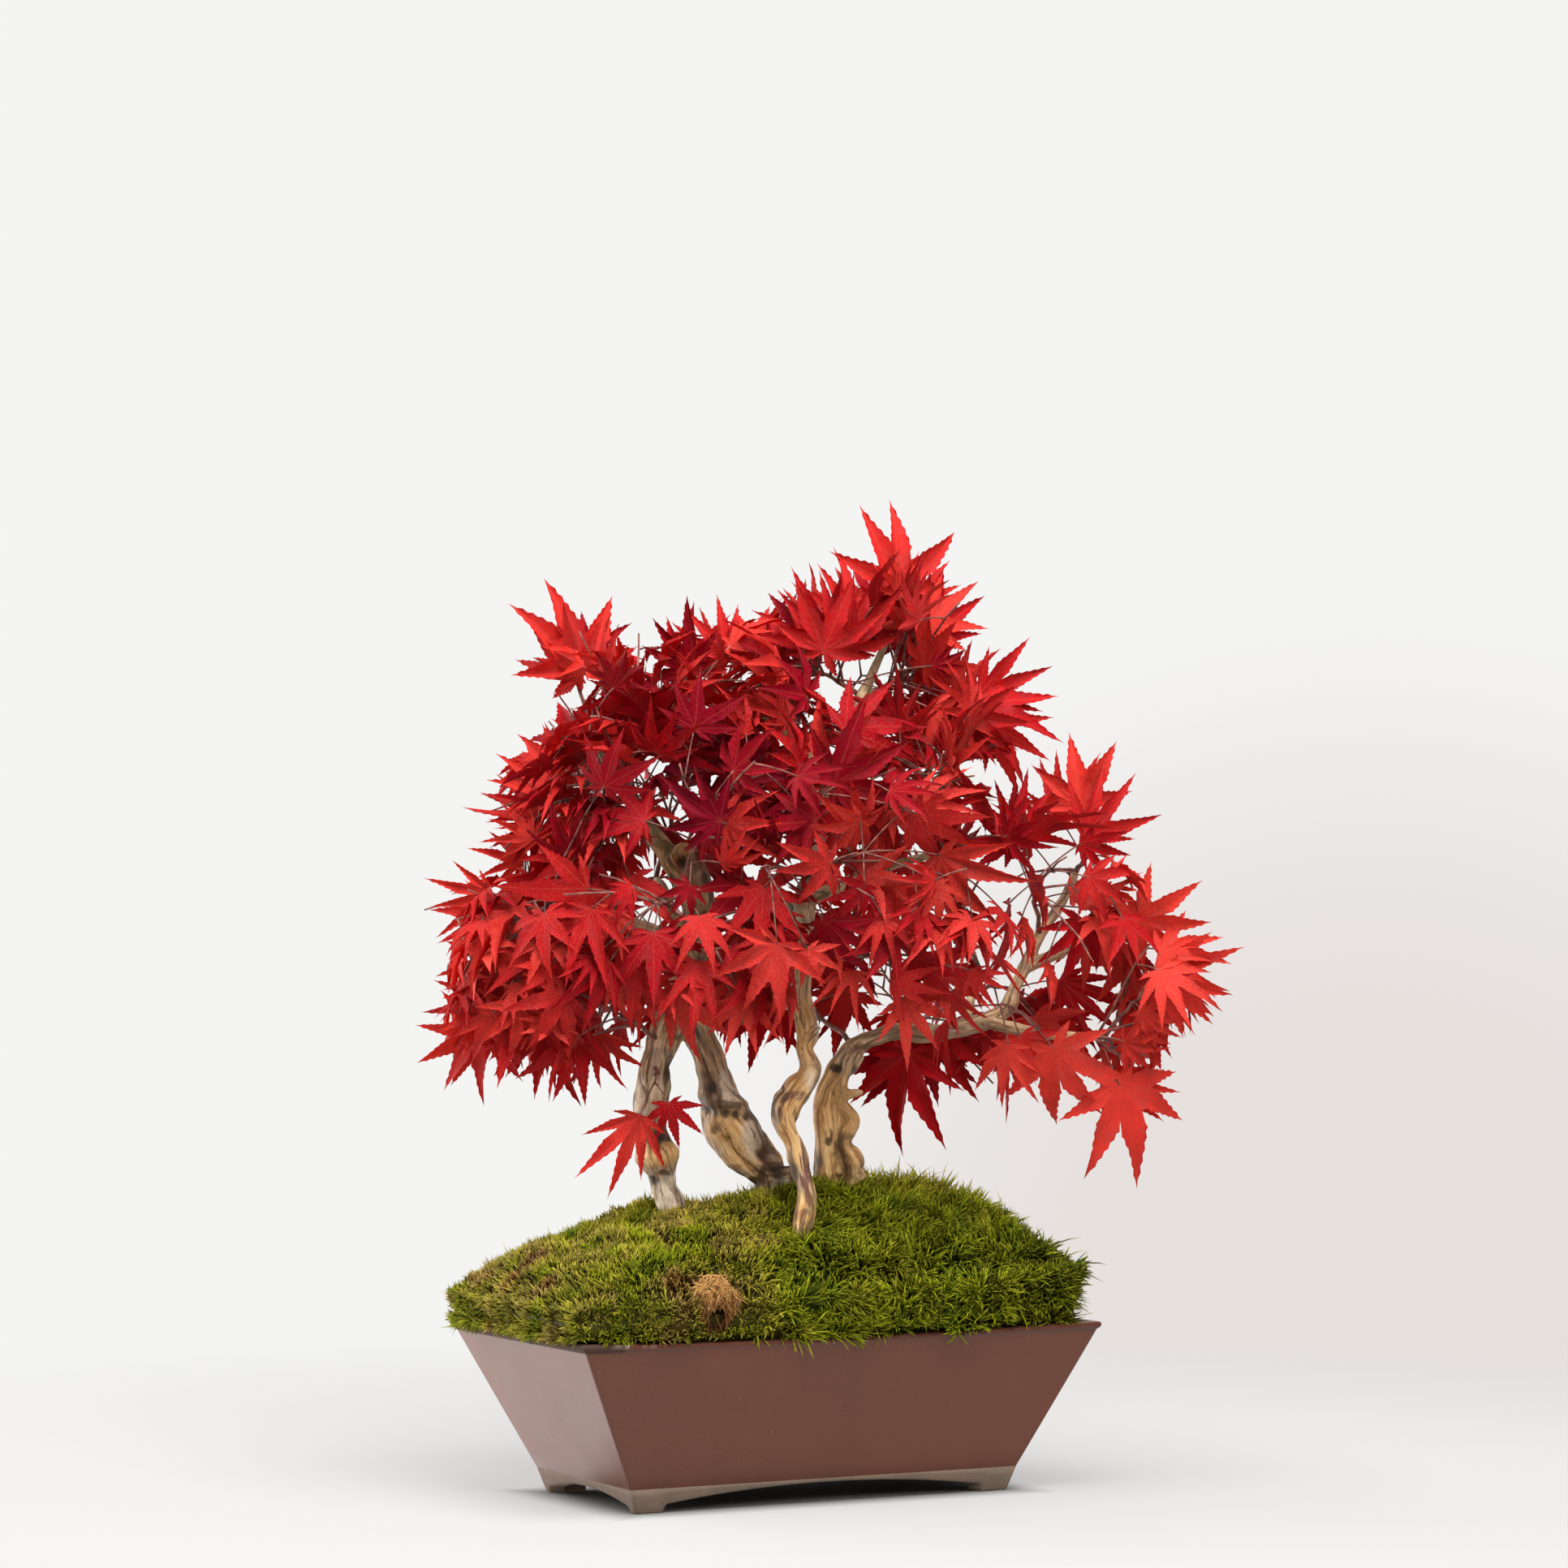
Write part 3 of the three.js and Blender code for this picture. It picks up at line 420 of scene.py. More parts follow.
light = {
    # the backdrop as the camera sees it, with a painted shadow on it as a tinted spot: its direction
    # and the cosines of its outer and inner edge
    "backdrop": (0.905, 0.905, 0.895), "backdropShade": (0.790, 0.745, 0.720), "backdropShadeAt": (0.125, 0.99, -0.085),
    "backdropShadeSpread": (0.987, 0.9995),
    # strength of the surroundings: everywhere, and how much more from the left, above, behind
    # and the front
    "skyColour": (1.0, 0.995, 0.985), "ambient": 0.42, "least": 0.05,
    "sides": [((-1, -0.15, 0), 0.62), ((0, 0, 1), 0.10), ((0, 1, 0), 0.32), ((0.2, -1, 0), -0.26)],
    # what the softboxes point at, in m above the pot's place
    "aim": (0.0, 0.0, 0.25),
    "softboxes": [
        # name, [across, away, up] in mm, side in m, power in W, colour
        ("left_softbox", (-1500, 500, 450), 1.5, 34.0, (1.0, 0.99, 0.98)),
        ("top_softbox", (150, -600, 1600), 1.0, 38.0, (1.0, 0.985, 0.95)),
        ("front_softbox", (700, -1900, 1200), 0.9, 24.0, (1.0, 0.97, 0.92)),
    ],
}


def makeLight():
    world = bpy.data.worlds.new("studio")
    bpy.context.scene.world = world
    world.use_nodes = True
    tree = world.node_tree
    tree.nodes.clear()
    normal = put(tree, "ShaderNodeTexCoord").outputs["Generated"]
    # the painted shadow on the backdrop: a tinted spot that only camera rays see
    backdropShade = vectorCalc(tree, "DOT_PRODUCT", normal, tuple(unit(turned(light["backdropShadeAt"]))))
    backdropShade = mapped(tree, backdropShade, *light["backdropShadeSpread"])
    backdrop = mixColour(tree, backdropShade, light["backdrop"], light["backdropShade"])
    shown = put(tree, "ShaderNodeBackground", {"Color": backdrop})
    total = light["ambient"]
    for way, more in light["sides"]:
        part = vectorCalc(tree, "DOT_PRODUCT", normal, tuple(turned(way)))
        part = times(tree, calc(tree, "MAXIMUM", part, 0.0), more)
        total = calc(tree, "ADD", part, total)
    around = put(tree, "ShaderNodeBackground", {
        "Color": light["skyColour"], "Strength": calc(tree, "MAXIMUM", total, light["least"])})
    path = put(tree, "ShaderNodeLightPath")
    both = put(tree, "ShaderNodeMixShader", {
        "Fac": path.outputs["Is Camera Ray"], 1: around.outputs[0], 2: shown.outputs[0]})
    feed(tree, put(tree, "ShaderNodeOutputWorld").inputs["Surface"], both.outputs[0])
    for name, place, side, power, colour in light["softboxes"]:
        data = bpy.data.lights.new(name, "AREA")
        data.size = side
        data.energy = power
        data.color = colour
        lamp = bpy.data.objects.new(name, data)
        lamp.location = potMiddle + mm * turned(place)
        lamp.rotation_euler = aimTurns(potMiddle + light["aim"] - np.array(lamp.location))
        lamp.visible_camera = False
        bpy.context.scene.collection.objects.link(lamp)


def aimTurns(aim):
    # tilt and heading that point a lamp's -Z along aim
    flat = math.hypot(aim[0], aim[1])
    return (math.atan2(flat, -aim[2]), 0.0, math.atan2(aim[1], aim[0]) - math.pi / 2)


paper = {
    # in m: half the sheet's side, and where it fades into the backdrop
    "reach": 6.0, "fade": (0.42, 1.0),
    "colour": (0.215, 0.215, 0.213), "glowColour": (1.0, 0.985, 0.975), "glow": 0.45,
    # in m: half the size of the dark place under the pot, and the width of its edge
    "underPot": (0.104, 0.048, 0.0), "underPotEdge": 0.030,
    # the side that glazes mirror more brightly, where that begins and ends in m, and how much
    "mirrorWay": (-0.7, 0.7, 0.0), "mirrorFade": (0.02, 0.07), "mirrorGlow": 1.28,
}


def floorGlow(tree, place):
    # the paper's own light: none under the pot, and more of it on the left for what glazes mirror
    flat = vectorCalc(tree, "SUBTRACT", place, tuple(potMiddle))
    away = vectorCalc(tree, "SUBTRACT", vectorCalc(tree, "ABSOLUTE", flat), paper["underPot"])
    parts = put(tree, "ShaderNodeSeparateXYZ", {"Vector": away}).outputs
    gap = calc(tree, "MAXIMUM", parts["X"], parts["Y"])
    base = mapped(tree, gap, 0.0, paper["underPotEdge"], 0.0, paper["glow"])
    leftward = vectorCalc(tree, "DOT_PRODUCT", flat, tuple(turned(paper["mirrorWay"])))
    bright = mapped(tree, leftward, *paper["mirrorFade"], 0.0, paper["mirrorGlow"])
    mirrored = put(tree, "ShaderNodeLightPath").outputs["Is Glossy Ray"]
    return calc(tree, "ADD", base, times(tree, bright, mirrored))


def makeFloor():
    reach = paper["reach"]
    mesh = bpy.data.meshes.new("studio_floor")
    mesh.from_pydata([(-reach, -reach, 0), (reach, -reach, 0), (reach, reach, 0), (-reach, reach, 0)],
                     [], [(0, 1, 2, 3)])
    floor = bpy.data.objects.new("studio_floor", mesh)
    bpy.context.scene.collection.objects.link(floor)
    material = bpy.data.materials.new("studio_paper")
    material.use_nodes = True
    tree = material.node_tree
    tree.nodes.clear()
    place = put(tree, "ShaderNodeTexCoord").outputs["Object"]
    fade = mapped(tree, vectorCalc(tree, "LENGTH", place), *paper["fade"])
    matte = put(tree, "ShaderNodeBsdfDiffuse", {"Color": paper["colour"]})
    glow = floorGlow(tree, place)
    own = put(tree, "ShaderNodeEmission", {"Color": paper["glowColour"], "Strength": glow})
    lit = put(tree, "ShaderNodeAddShader", {0: matte.outputs[0], 1: own.outputs[0]})
    clear = put(tree, "ShaderNodeBsdfTransparent")
    both = put(tree, "ShaderNodeMixShader", {"Fac": fade, 1: lit.outputs[0], 2: clear.outputs[0]})
    feed(tree, put(tree, "ShaderNodeOutputMaterial").inputs["Surface"], both.outputs[0])
    mesh.materials.append(material)


makeCamera()
makeLight()
makeFloor()
bpy.context.scene.view_settings.view_transform = "Standard"
print("camera, light and floor set")


pot = {
    "height": 89.0, "glazeLine": 12.8, "rimHalf": (151.0, 81.0), "glazeHalf": (113.0, 57.0),
    "footHalf": (109.0, 53.2), "rimSag": 2.0, "wall": 7.0, "floor": 19.0, "footWall": 7.0,
    "cornerRound": 1.8, "lipRound": 1.9, "lipHeight": 3.6, "lipOut": 0.9,
    "footSize": (16.0, 5.0), "footSlope": (2.5, 7.0), "footTop": 4.4, "crown": (10.8, 8.8),
    "drainAt": 60.0, "drainRadius": 10.0,
}
cornerSteps = 6
sideSteps = (150, 84)


def wallHalf(side, z):
    above = blend(pot["glazeHalf"][side], pot["rimHalf"][side],
                  (z - pot["glazeLine"]) / (pot["height"] - pot["glazeLine"]))
    below = blend(pot["footHalf"][side], pot["glazeHalf"][side], z / pot["glazeLine"])
    return np.where(z > pot["glazeLine"], above, below)


def rimDip(x, z):
    along = np.clip(np.abs(x) / pot["rimHalf"][0], 0, 1)
    return pot["rimSag"] * (1 - along * along) * np.clip(z / pot["height"], 0, 1) ** 2


def potSquare():
    # the unit square's outline as [x, y, corner x, corner y]: sides go from -1 to 1, closely
    # spaced near the corners, and the corner part is a quarter circle
    quarter = np.linspace(0, math.pi / 2, cornerSteps)[1:-1]
    bend = together(np.sin(quarter) - 1, 1 - np.cos(quarter))
    corner = np.tile([1.0, -1.0], (cornerSteps - 2, 1))
    rows = []
    for turn in range(4):
        count = sideSteps[turn % 2]
        side = together(np.sin(np.linspace(-1, 1, count) * math.pi / 2), -np.ones(count))
        cos, sin = round(math.cos(turn * math.pi / 2)), round(math.sin(turn * math.pi / 2))
        turnBy = np.array([[cos, sin], [-sin, cos]])
        square = np.concatenate([side, corner])
        inward = np.concatenate([np.zeros((count, 2)), bend])
        rows.append(np.concatenate([square @ turnBy, inward @ turnBy], 1))
    return np.concatenate(rows)


potOutline = potSquare()
# the side that each point of the outline is on or before the corner of, from 0 at the front
potFacing = np.repeat(np.arange(4), np.array(sideSteps * 2) + cornerSteps - 2)
atCorner = np.abs(potOutline[:, 2:]).sum(1) > 0


def potRing(z, inset, radius=pot["cornerRound"]):
    # a rectangle at height z, drawn in by inset, with rounded corners and the sagging rim
    z = np.broadcast_to(np.asarray(z, float), (len(potOutline),))
    half = together(wallHalf(0, z), wallHalf(1, z)) - inset
    square, bend = potOutline[:, :2], potOutline[:, 2:]
    atEdge = np.abs(square) == 1
    push = np.where(atCorner[:, None], 0.0, atEdge)
    sideEnds = atEdge.all(1) & ~atCorner
    push[sideEnds, potFacing[sideEnds] % 2] = 0.0
    offset = np.where(atCorner[:, None], square + bend, push * np.sign(square)) * radius
    flat = square * (half - radius) + offset
    return np.column_stack([flat, z - rimDip(flat[:, 0], z)])


def ringLoft(rings, closed):
    # rings joined in order; the last joins the first, or both ends are closed by one face
    count = len(rings[0])
    points = np.concatenate(rings)
    total = len(rings)
    lows = np.arange(total if closed else total - 1) * count
    highs = np.roll(np.arange(total), -1)[: len(lows)] * count
    i = np.arange(count)
    j = (i + 1) % count
    walls = together(lows[:, None] + i, lows[:, None] + j, highs[:, None] + j, highs[:, None] + i)
    blocks = [walls.reshape(-1, 4)]
    if not closed:
        blocks.append(np.stack([i[::-1], (total - 1) * count + i]))
    return points, blocks


def makeBowl():
    line, top, wall = pot["glazeLine"], pot["height"], pot["wall"]
    lip, lipHeight, out = pot["lipRound"], pot["lipHeight"], pot["lipOut"]
    rings = [potRing(line - 0.4, 2.0), potRing(line - 0.4, 0.3), potRing(line, 0.0)]
    rings += [potRing(z, 0.0) for z in np.linspace(line, top - lipHeight - 1.2, 9)[1:]]
    # the lip is a small rolled bead: it swells out a little and rounds over the edge
    bead = [(lipHeight + 0.5, 0.0), (lipHeight, -0.55 * out), (lipHeight - 0.6, -out),
            (lip, -out), (0.5 * lip, 0.3 * lip - out), (0.2 * lip, 0.6 * lip - out), (0.0, lip + 0.4)]
    rings += [potRing(top - drop, inset) for drop, inset in bead]
    outside = len(rings)
    inner = [(0.0, wall - lip - 0.3), (0.3 * lip, wall - 0.5 * lip), (lip, wall)]
    rings += [potRing(top - drop, inset) for drop, inset in inner]
    rings += [potRing(z, wall) for z in np.linspace(top - 6, pot["floor"] + 3, 4)]
    rings += [potRing(pot["floor"] + 0.8, wall + 0.8), potRing(pot["floor"], wall + 3)]
    points, blocks = ringLoft(rings, False)
    bare = points[:, 2] < line - 0.05
    bare[outside * len(potOutline):] = True
    bowl = surface("glazed_bowl", points, blocks, [glazeFinish, drainClay],
                   fields={"bareClay": bare.astype(float)})
    for x in (-pot["drainAt"], pot["drainAt"]):
        cutDrain(bowl, x)
    settle(bowl, "glazed_clay", "pot")


def cutDrain(bowl, x):
    angle = ringAngles(40)
    flat = pot["drainRadius"] * together(np.cos(angle), np.sin(angle)) + (x, 0)
    rings = [np.column_stack([flat, np.full(len(flat), z)])
             for z in (pot["glazeLine"] - 3, pot["floor"] + 3)]
    cutter = surface("drain_cutter", *ringLoft(rings, False), [drainClay])
    hole = bowl.modifiers.new("drain", "BOOLEAN")
    hole.operation = "DIFFERENCE"
    hole.solver = "EXACT"
    hole.object = cutter
    graph = bpy.context.evaluated_depsgraph_get()
    cut = bpy.data.meshes.new_from_object(bowl.evaluated_get(graph))
    bowl.modifiers.clear()
    bowl.data = cut
    bpy.data.objects.remove(cutter)


def apronHeight(distance, side):
    # the aprons' lower edge: 0 on the foot, a quarter round up its flank, a low arch between
    half = pot["footHalf"][side] - pot["footSize"][side]
    slope, rise, crown = pot["footSlope"][side], pot["footTop"], pot["crown"][side]
    inner = half - slope
    flank = rise * np.sqrt(np.clip(1 - ((distance - inner) / slope) ** 2, 0, 1))
    arch = rise + (crown - rise) * (1 - (distance / inner) ** 2)
    return np.where(distance >= half, 0.0, np.where(distance > inner, flank, arch))


def makeFootRing():
    line, wall = pot["glazeLine"] - 0.02, pot["footWall"]
    base = potRing(0.0, 0.0)
    edges = [apronHeight(np.abs(base[:, side]), side) for side in (0, 1)]
    edge = np.where(atCorner, 0.0, np.where(potFacing % 2 == 0, *edges))
    rings = [potRing(edge + (line - edge) * share, 0.0) for share in (1.0, 0.66, 0.33, 0.08)]
    rings += [potRing(edge + 0.25, 0.15), potRing(edge, 0.6), potRing(edge, wall - 0.6, 0.3),
              potRing(edge + 0.5, wall, 0.3), potRing(line, wall, 0.3)]
    for ring in rings:
        ring[:, 2] = np.clip(ring[:, 2], 0.0, pot["glazeLine"])
    points, blocks = ringLoft(rings[::-1], True)
    settle(surface("clay_foot_ring", points, blocks, [bareClay]), "bare_clay", "pot_foot_ring")


glaze = {
    "brown": (0.118, 0.036, 0.019), "warm": (0.150, 0.038, 0.016), "lip": (0.085, 0.026, 0.016),
    # next: crumbs and a painted highlight for the lip's top, grit, and painted shade under the hanging
    # moss
    "dustAndSheen": (0.42, 0.34, 0.27), "grit": (0.36, 0.28, 0.23), "mossOverhangShade": (0.040, 0.022, 0.014),
    "clay": (0.175, 0.125, 0.092), "bareClay": (0.168, 0.118, 0.087), "stain": (0.24, 0.15, 0.10),
    "roughness": 0.34,
}


def makeGlaze():
    # brown glaze, glossier on its lip, with crumbs and painted highlights on top, painted shade of the
    # moss on the left end, and bare clay
    material, tree, place = newMaterial("brown_glaze")
    colour = tinted(tree, place, glaze["brown"], 22.0, 700.0, 0.16)
    colour = overlaid(tree, colour, patches(tree, place, 9.0, 0.55, 0.12), 0.35, glaze["warm"])
    clay = tinted(tree, place, glaze["clay"], 60.0, 1500.0, 0.25)
    parts = put(tree, "ShaderNodeSeparateXYZ", {"Vector": place}).outputs
    rim, end = pot["height"], pot["rimHalf"][0]
    lip = mapped(tree, parts["Z"], (rim - 5.6) * mm, (rim - 3.9) * mm)
    colour = mixColour(tree, lip, colour, glaze["lip"])
    top = mapped(tree, parts["Z"], (rim - 3.4) * mm, (rim - 1.6) * mm, smooth=False)
    # crumbs on the lip's top, which also serve as a painted highlight there
    dustAndSheen = times(tree, top, patches(tree, place, 55.0, 0.61, 0.03))
    colour = overlaid(tree, colour, dustAndSheen, 0.6, glaze["dustAndSheen"])
    grit = patches(tree, place, 420.0, 0.73, 0.015)
    colour = overlaid(tree, colour, grit, 0.25, glaze["grit"])
    bare = field(tree, "bareClay")
    colour = mixColour(tree, bare, colour, clay)
    # painted shade on the left end of the lip, where the hanging moss shades it
    mossOverhangShade = mapped(tree, parts["X"], (1.5 - end) * mm, (4.5 - end) * mm, 1.0, 0.0, smooth=False)
    mossOverhangShade = times(tree, mossOverhangShade, lip)
    colour = overlaid(tree, colour, mossOverhangShade, 0.75, glaze["mossOverhangShade"])
    rough = calc(tree, "MULTIPLY_ADD", noiseAt(tree, place, 35.0, 2.0), 0.10, glaze["roughness"])
    rough = calc(tree, "MULTIPLY_ADD", lip, -0.14, rough)
    for mask, least in ((dustAndSheen, 0.7), (bare, 0.85), (mossOverhangShade, 0.9)):
        rough = calc(tree, "MAXIMUM", rough, times(tree, mask, least))
    normal = bumped(tree, noiseAt(tree, place, 260.0, 5.0), 0.12, 0.0006)
    wire(tree, colour, rough, normal, 0.42)
    return material


def makeBareClay(name):
    material, tree, place = newMaterial(name)
    colour = tinted(tree, place, glaze["bareClay"], 60.0, 1300.0, 0.3)
    colour = overlaid(tree, colour, patches(tree, place, 90.0, 0.62, 0.06), 0.35, glaze["stain"])
    wire(tree, colour, 0.88, bumped(tree, noiseAt(tree, place, 1400.0, 4.0), 0.5, 0.0004))
    return material


glazeFinish = makeGlaze()
bareClay, drainClay = (makeBareClay(clayName) for clayName in ("bare_clay", "drain_clay"))
makeBowl()
makeFootRing()
print("pot made")


def makeSoilFinish():
    material, tree, place = newMaterial("potting_soil")
    grains = put(tree, "ShaderNodeTexVoronoi", {"Vector": place, "Scale": 420.0}).outputs
    colour = ramp(tree, grains["Color"], [
        (0.0, (0.035, 0.022, 0.014)), (0.5, (0.09, 0.06, 0.04)), (1.0, (0.20, 0.15, 0.11))])
    wire(tree, colour, 0.95, bumped(tree, grains["Distance"], 0.8, 0.0015))
    return material


def makeMeshFinish():
    material, tree, place = newMaterial("dark_moulded_mesh")
    colour = tinted(tree, place, (0.022, 0.022, 0.02), 80.0, 900.0, 0.3)
    wire(tree, colour, 0.55, bumped(tree, noiseAt(tree, place, 700.0, 3.0), 0.2, 0.0003))
    return material


def finishNode(name, material):
    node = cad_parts[name]
    node.data.materials.clear()
    node.data.materials.append(material)


finishNode("soil", makeSoilFinish())
meshFinish = makeMeshFinish()
finishNode("drain_mesh_left", meshFinish)
finishNode("drain_mesh_right", meshFinish)


# Rows of [across, away, up, radius]
leftLeg = [
    (-51, -30, 60, 8), (-52, -30, 120, 9), (-54.4, -30, 147, 8.6), (-55.4, -30, 153.6, 8.2),
    (-58.3, -30, 159.4, 7.4), (-59.5, -30, 165, 7.8), (-60.8, -30, 171, 9.6), (-62.2, -30, 177.5, 12.2),
    (-63.8, -30, 183, 10.8), (-66.2, -30, 190, 9.3), (-66.2, -30, 197.5, 9.2), (-65, -29, 205, 9.6),
    (-63.8, -28, 214.5, 9.6), (-62.2, -26, 224, 9.4), (-60, -23, 233.5, 10.2), (-56.5, -19, 245, 10.4),
    (-50, -15, 262, 10), (-45, -10, 285, 9.5), (-41, -9, 305, 9), (-46, -11, 322, 10.5),
    (-53, -12, 337, 8),
]
leaningLeg = [
    (4, 8, 60, 10), (3, 7, 120, 10), (-0.6, 5, 155.5, 9), (-2.2, 4, 163.2, 10), (-6, 3, 169.2, 10.8),
    (-12.8, 1, 175, 12.2), (-18.8, 0, 181.8, 13.2), (-22.8, -2, 188.6, 13.8), (-27.2, -4, 196.5, 13.6),
    (-29.4, -6, 204.8, 11.8), (-31.4, -8, 213.7, 9.8), (-33.8, -10, 222.3, 8.8), (-37, -12, 231, 8.6),
    (-42, -15, 242, 8.8), (-48, -17, 252, 9),
]
centreStem = [
    (10, -52, 60, 6), (11, -52, 118, 6), (11.5, -51, 137, 5.0), (13.0, -49, 143.4, 5.9),
    (15.0, -48, 149.2, 6.0), (15.6, -47, 154.8, 5.4), (14.6, -46, 162, 4.9), (12.4, -44, 169.6, 5.4),
    (11, -43, 177, 6), (9.5, -41, 182.6, 6), (6.8, -39, 188.4, 6.2), (4.4, -37, 194, 6.8),
    (4.2, -35, 199.4, 7.9), (6.1, -33, 205, 8.3), (10.1, -31, 211, 8), (15.6, -29, 217.2, 7.2),
    (17.2, -27, 223.8, 6.5), (14.6, -25, 232.5, 5.6), (16.2, -23, 240, 6.2), (15.4, -21, 248.6, 5.8),
    (13.4, -20, 258, 4.9), (13.8, -18, 272, 5.1), (15, -15, 297, 5), (20, -10, 335, 4.8),
    (30, -5, 372, 4.3), (45, 0, 416, 3.4), (58, 3, 448, 2.4),
]
rightStrand = [
    (27, 9, 60, 9), (27, 9, 120, 8), (27.6, 9, 158.2, 5.8), (26.3, 8, 166.8, 6.6), (25.6, 7, 175, 6.6),
    (25.2, 6, 184.4, 6.5), (24.7, 5, 194, 6.3), (24.2, 5, 201.8, 5.6), (25.6, 5, 209.5, 5.2),
    (28.9, 6, 216.2, 5.4), (33.4, 7, 223.8, 5.8), (40.4, 8, 231.6, 6.2), (50, 9, 236.6, 5.8),
    (61.3, 10, 240.2, 5.2), (72.8, 11, 240.4, 6), (82, 11, 239.5, 4.9), (96, 12, 242, 5),
    (110, 14, 246, 5), (122, 15, 253, 4.6), (126, 16, 263, 4.3), (132, 18, 276, 4),
    (140, 22, 292, 3.6), (152, 26, 310, 3), (160, 28, 326, 2.2),
]
twistedStrand = [
    (42, 12, 60, 8), (40, 11, 120, 8), (37.5, 10, 160, 7), (39.6, 8, 167.8, 6.8), (38.8, 5, 174.6, 6.4),
    (35.6, 3, 181.6, 5.0), (37.2, 2, 188.2, 4.6), (40.0, 3, 193.2, 4.2), (37.4, 5, 198.2, 4.1),
    (33.4, 5, 203.8, 3.8), (33.2, 3, 209.6, 4.1), (35.2, 2, 216.4, 4.8), (38.8, 3, 223.2, 5.2),
    (43, 5, 230.4, 5),
]
stubs = {
    "trunk_arched": [[(-6, 0, 168, 6), (2, -3, 166, 6.4), (10, -3, 165, 5.6), (14, -1, 160, 4.5)]],
    "trunk_centre": [[(16, -27, 238, 3.4), (20, -27, 242.4, 2.5), (23, -27, 243.6, 1.3)]],
    "trunk_right": [
        [(35, 5, 207.5, 3.6), (41, 4, 208.6, 2.6), (45.5, 3, 209, 1.5)],
        [(36, 8, 172, 4.5), (42, 6, 167, 4.2), (45.8, 5, 162.5, 3.0)],
        [(30, 9, 216, 4.0), (30, 8, 206, 4.2), (31, 7, 196, 4.6), (31, 7, 185, 5.2), (32, 8, 170, 5.5)],
    ],
}
archedBranches = [
    [(-45, -10, 285, 6), (-70, -20, 296, 4.5), (-100, -28, 300, 3.4), (-130, -32, 296, 2.4)],
    [(-50, -11, 325, 6), (-68, -8, 350, 4), (-85, -6, 375, 3), (-98, -8, 398, 2.2)],
    [(-44, -10, 290, 5.5), (-56, 20, 305, 4), (-62, 50, 318, 3), (-66, 75, 322, 2.2)],
    [(-45, -12, 280, 5.5), (-50, -45, 298, 3.6), (-52, -75, 305, 2.4)],
]
centreBranches = [
    [(15, -15, 297, 4.5), (12, -45, 312, 3.4), (15, -75, 322, 2.4)],
    [(20, -10, 335, 4.2), (45, 25, 352, 3.2), (62, 55, 360, 2.3)],
    [(30, -5, 372, 3.8), (5, 8, 398, 3), (-20, 12, 415, 2.2)],
    [(16, -13, 310, 4.2), (50, -35, 325, 3.2), (85, -45, 335, 2.3)],
    [(15, -15, 300, 4), (-2, 30, 318, 3.2), (-8, 70, 326, 2.3)],
]
rightBranches = [
    [(110, 14, 246, 4.2), (140, 0, 240, 3.2), (172, -8, 238, 2.3)],
    [(130, 18, 274, 3.8), (160, 16, 286, 3), (188, 14, 292, 2.2)],
    [(100, 13, 243, 4), (105, 45, 262, 3), (110, 70, 272, 2.2)],
]
trunks = {
    "trunk_arched": ([leftLeg, leaningLeg], archedBranches),
    "trunk_centre": ([centreStem], centreBranches),
    "trunk_right": ([rightStrand, twistedStrand], rightBranches),
}
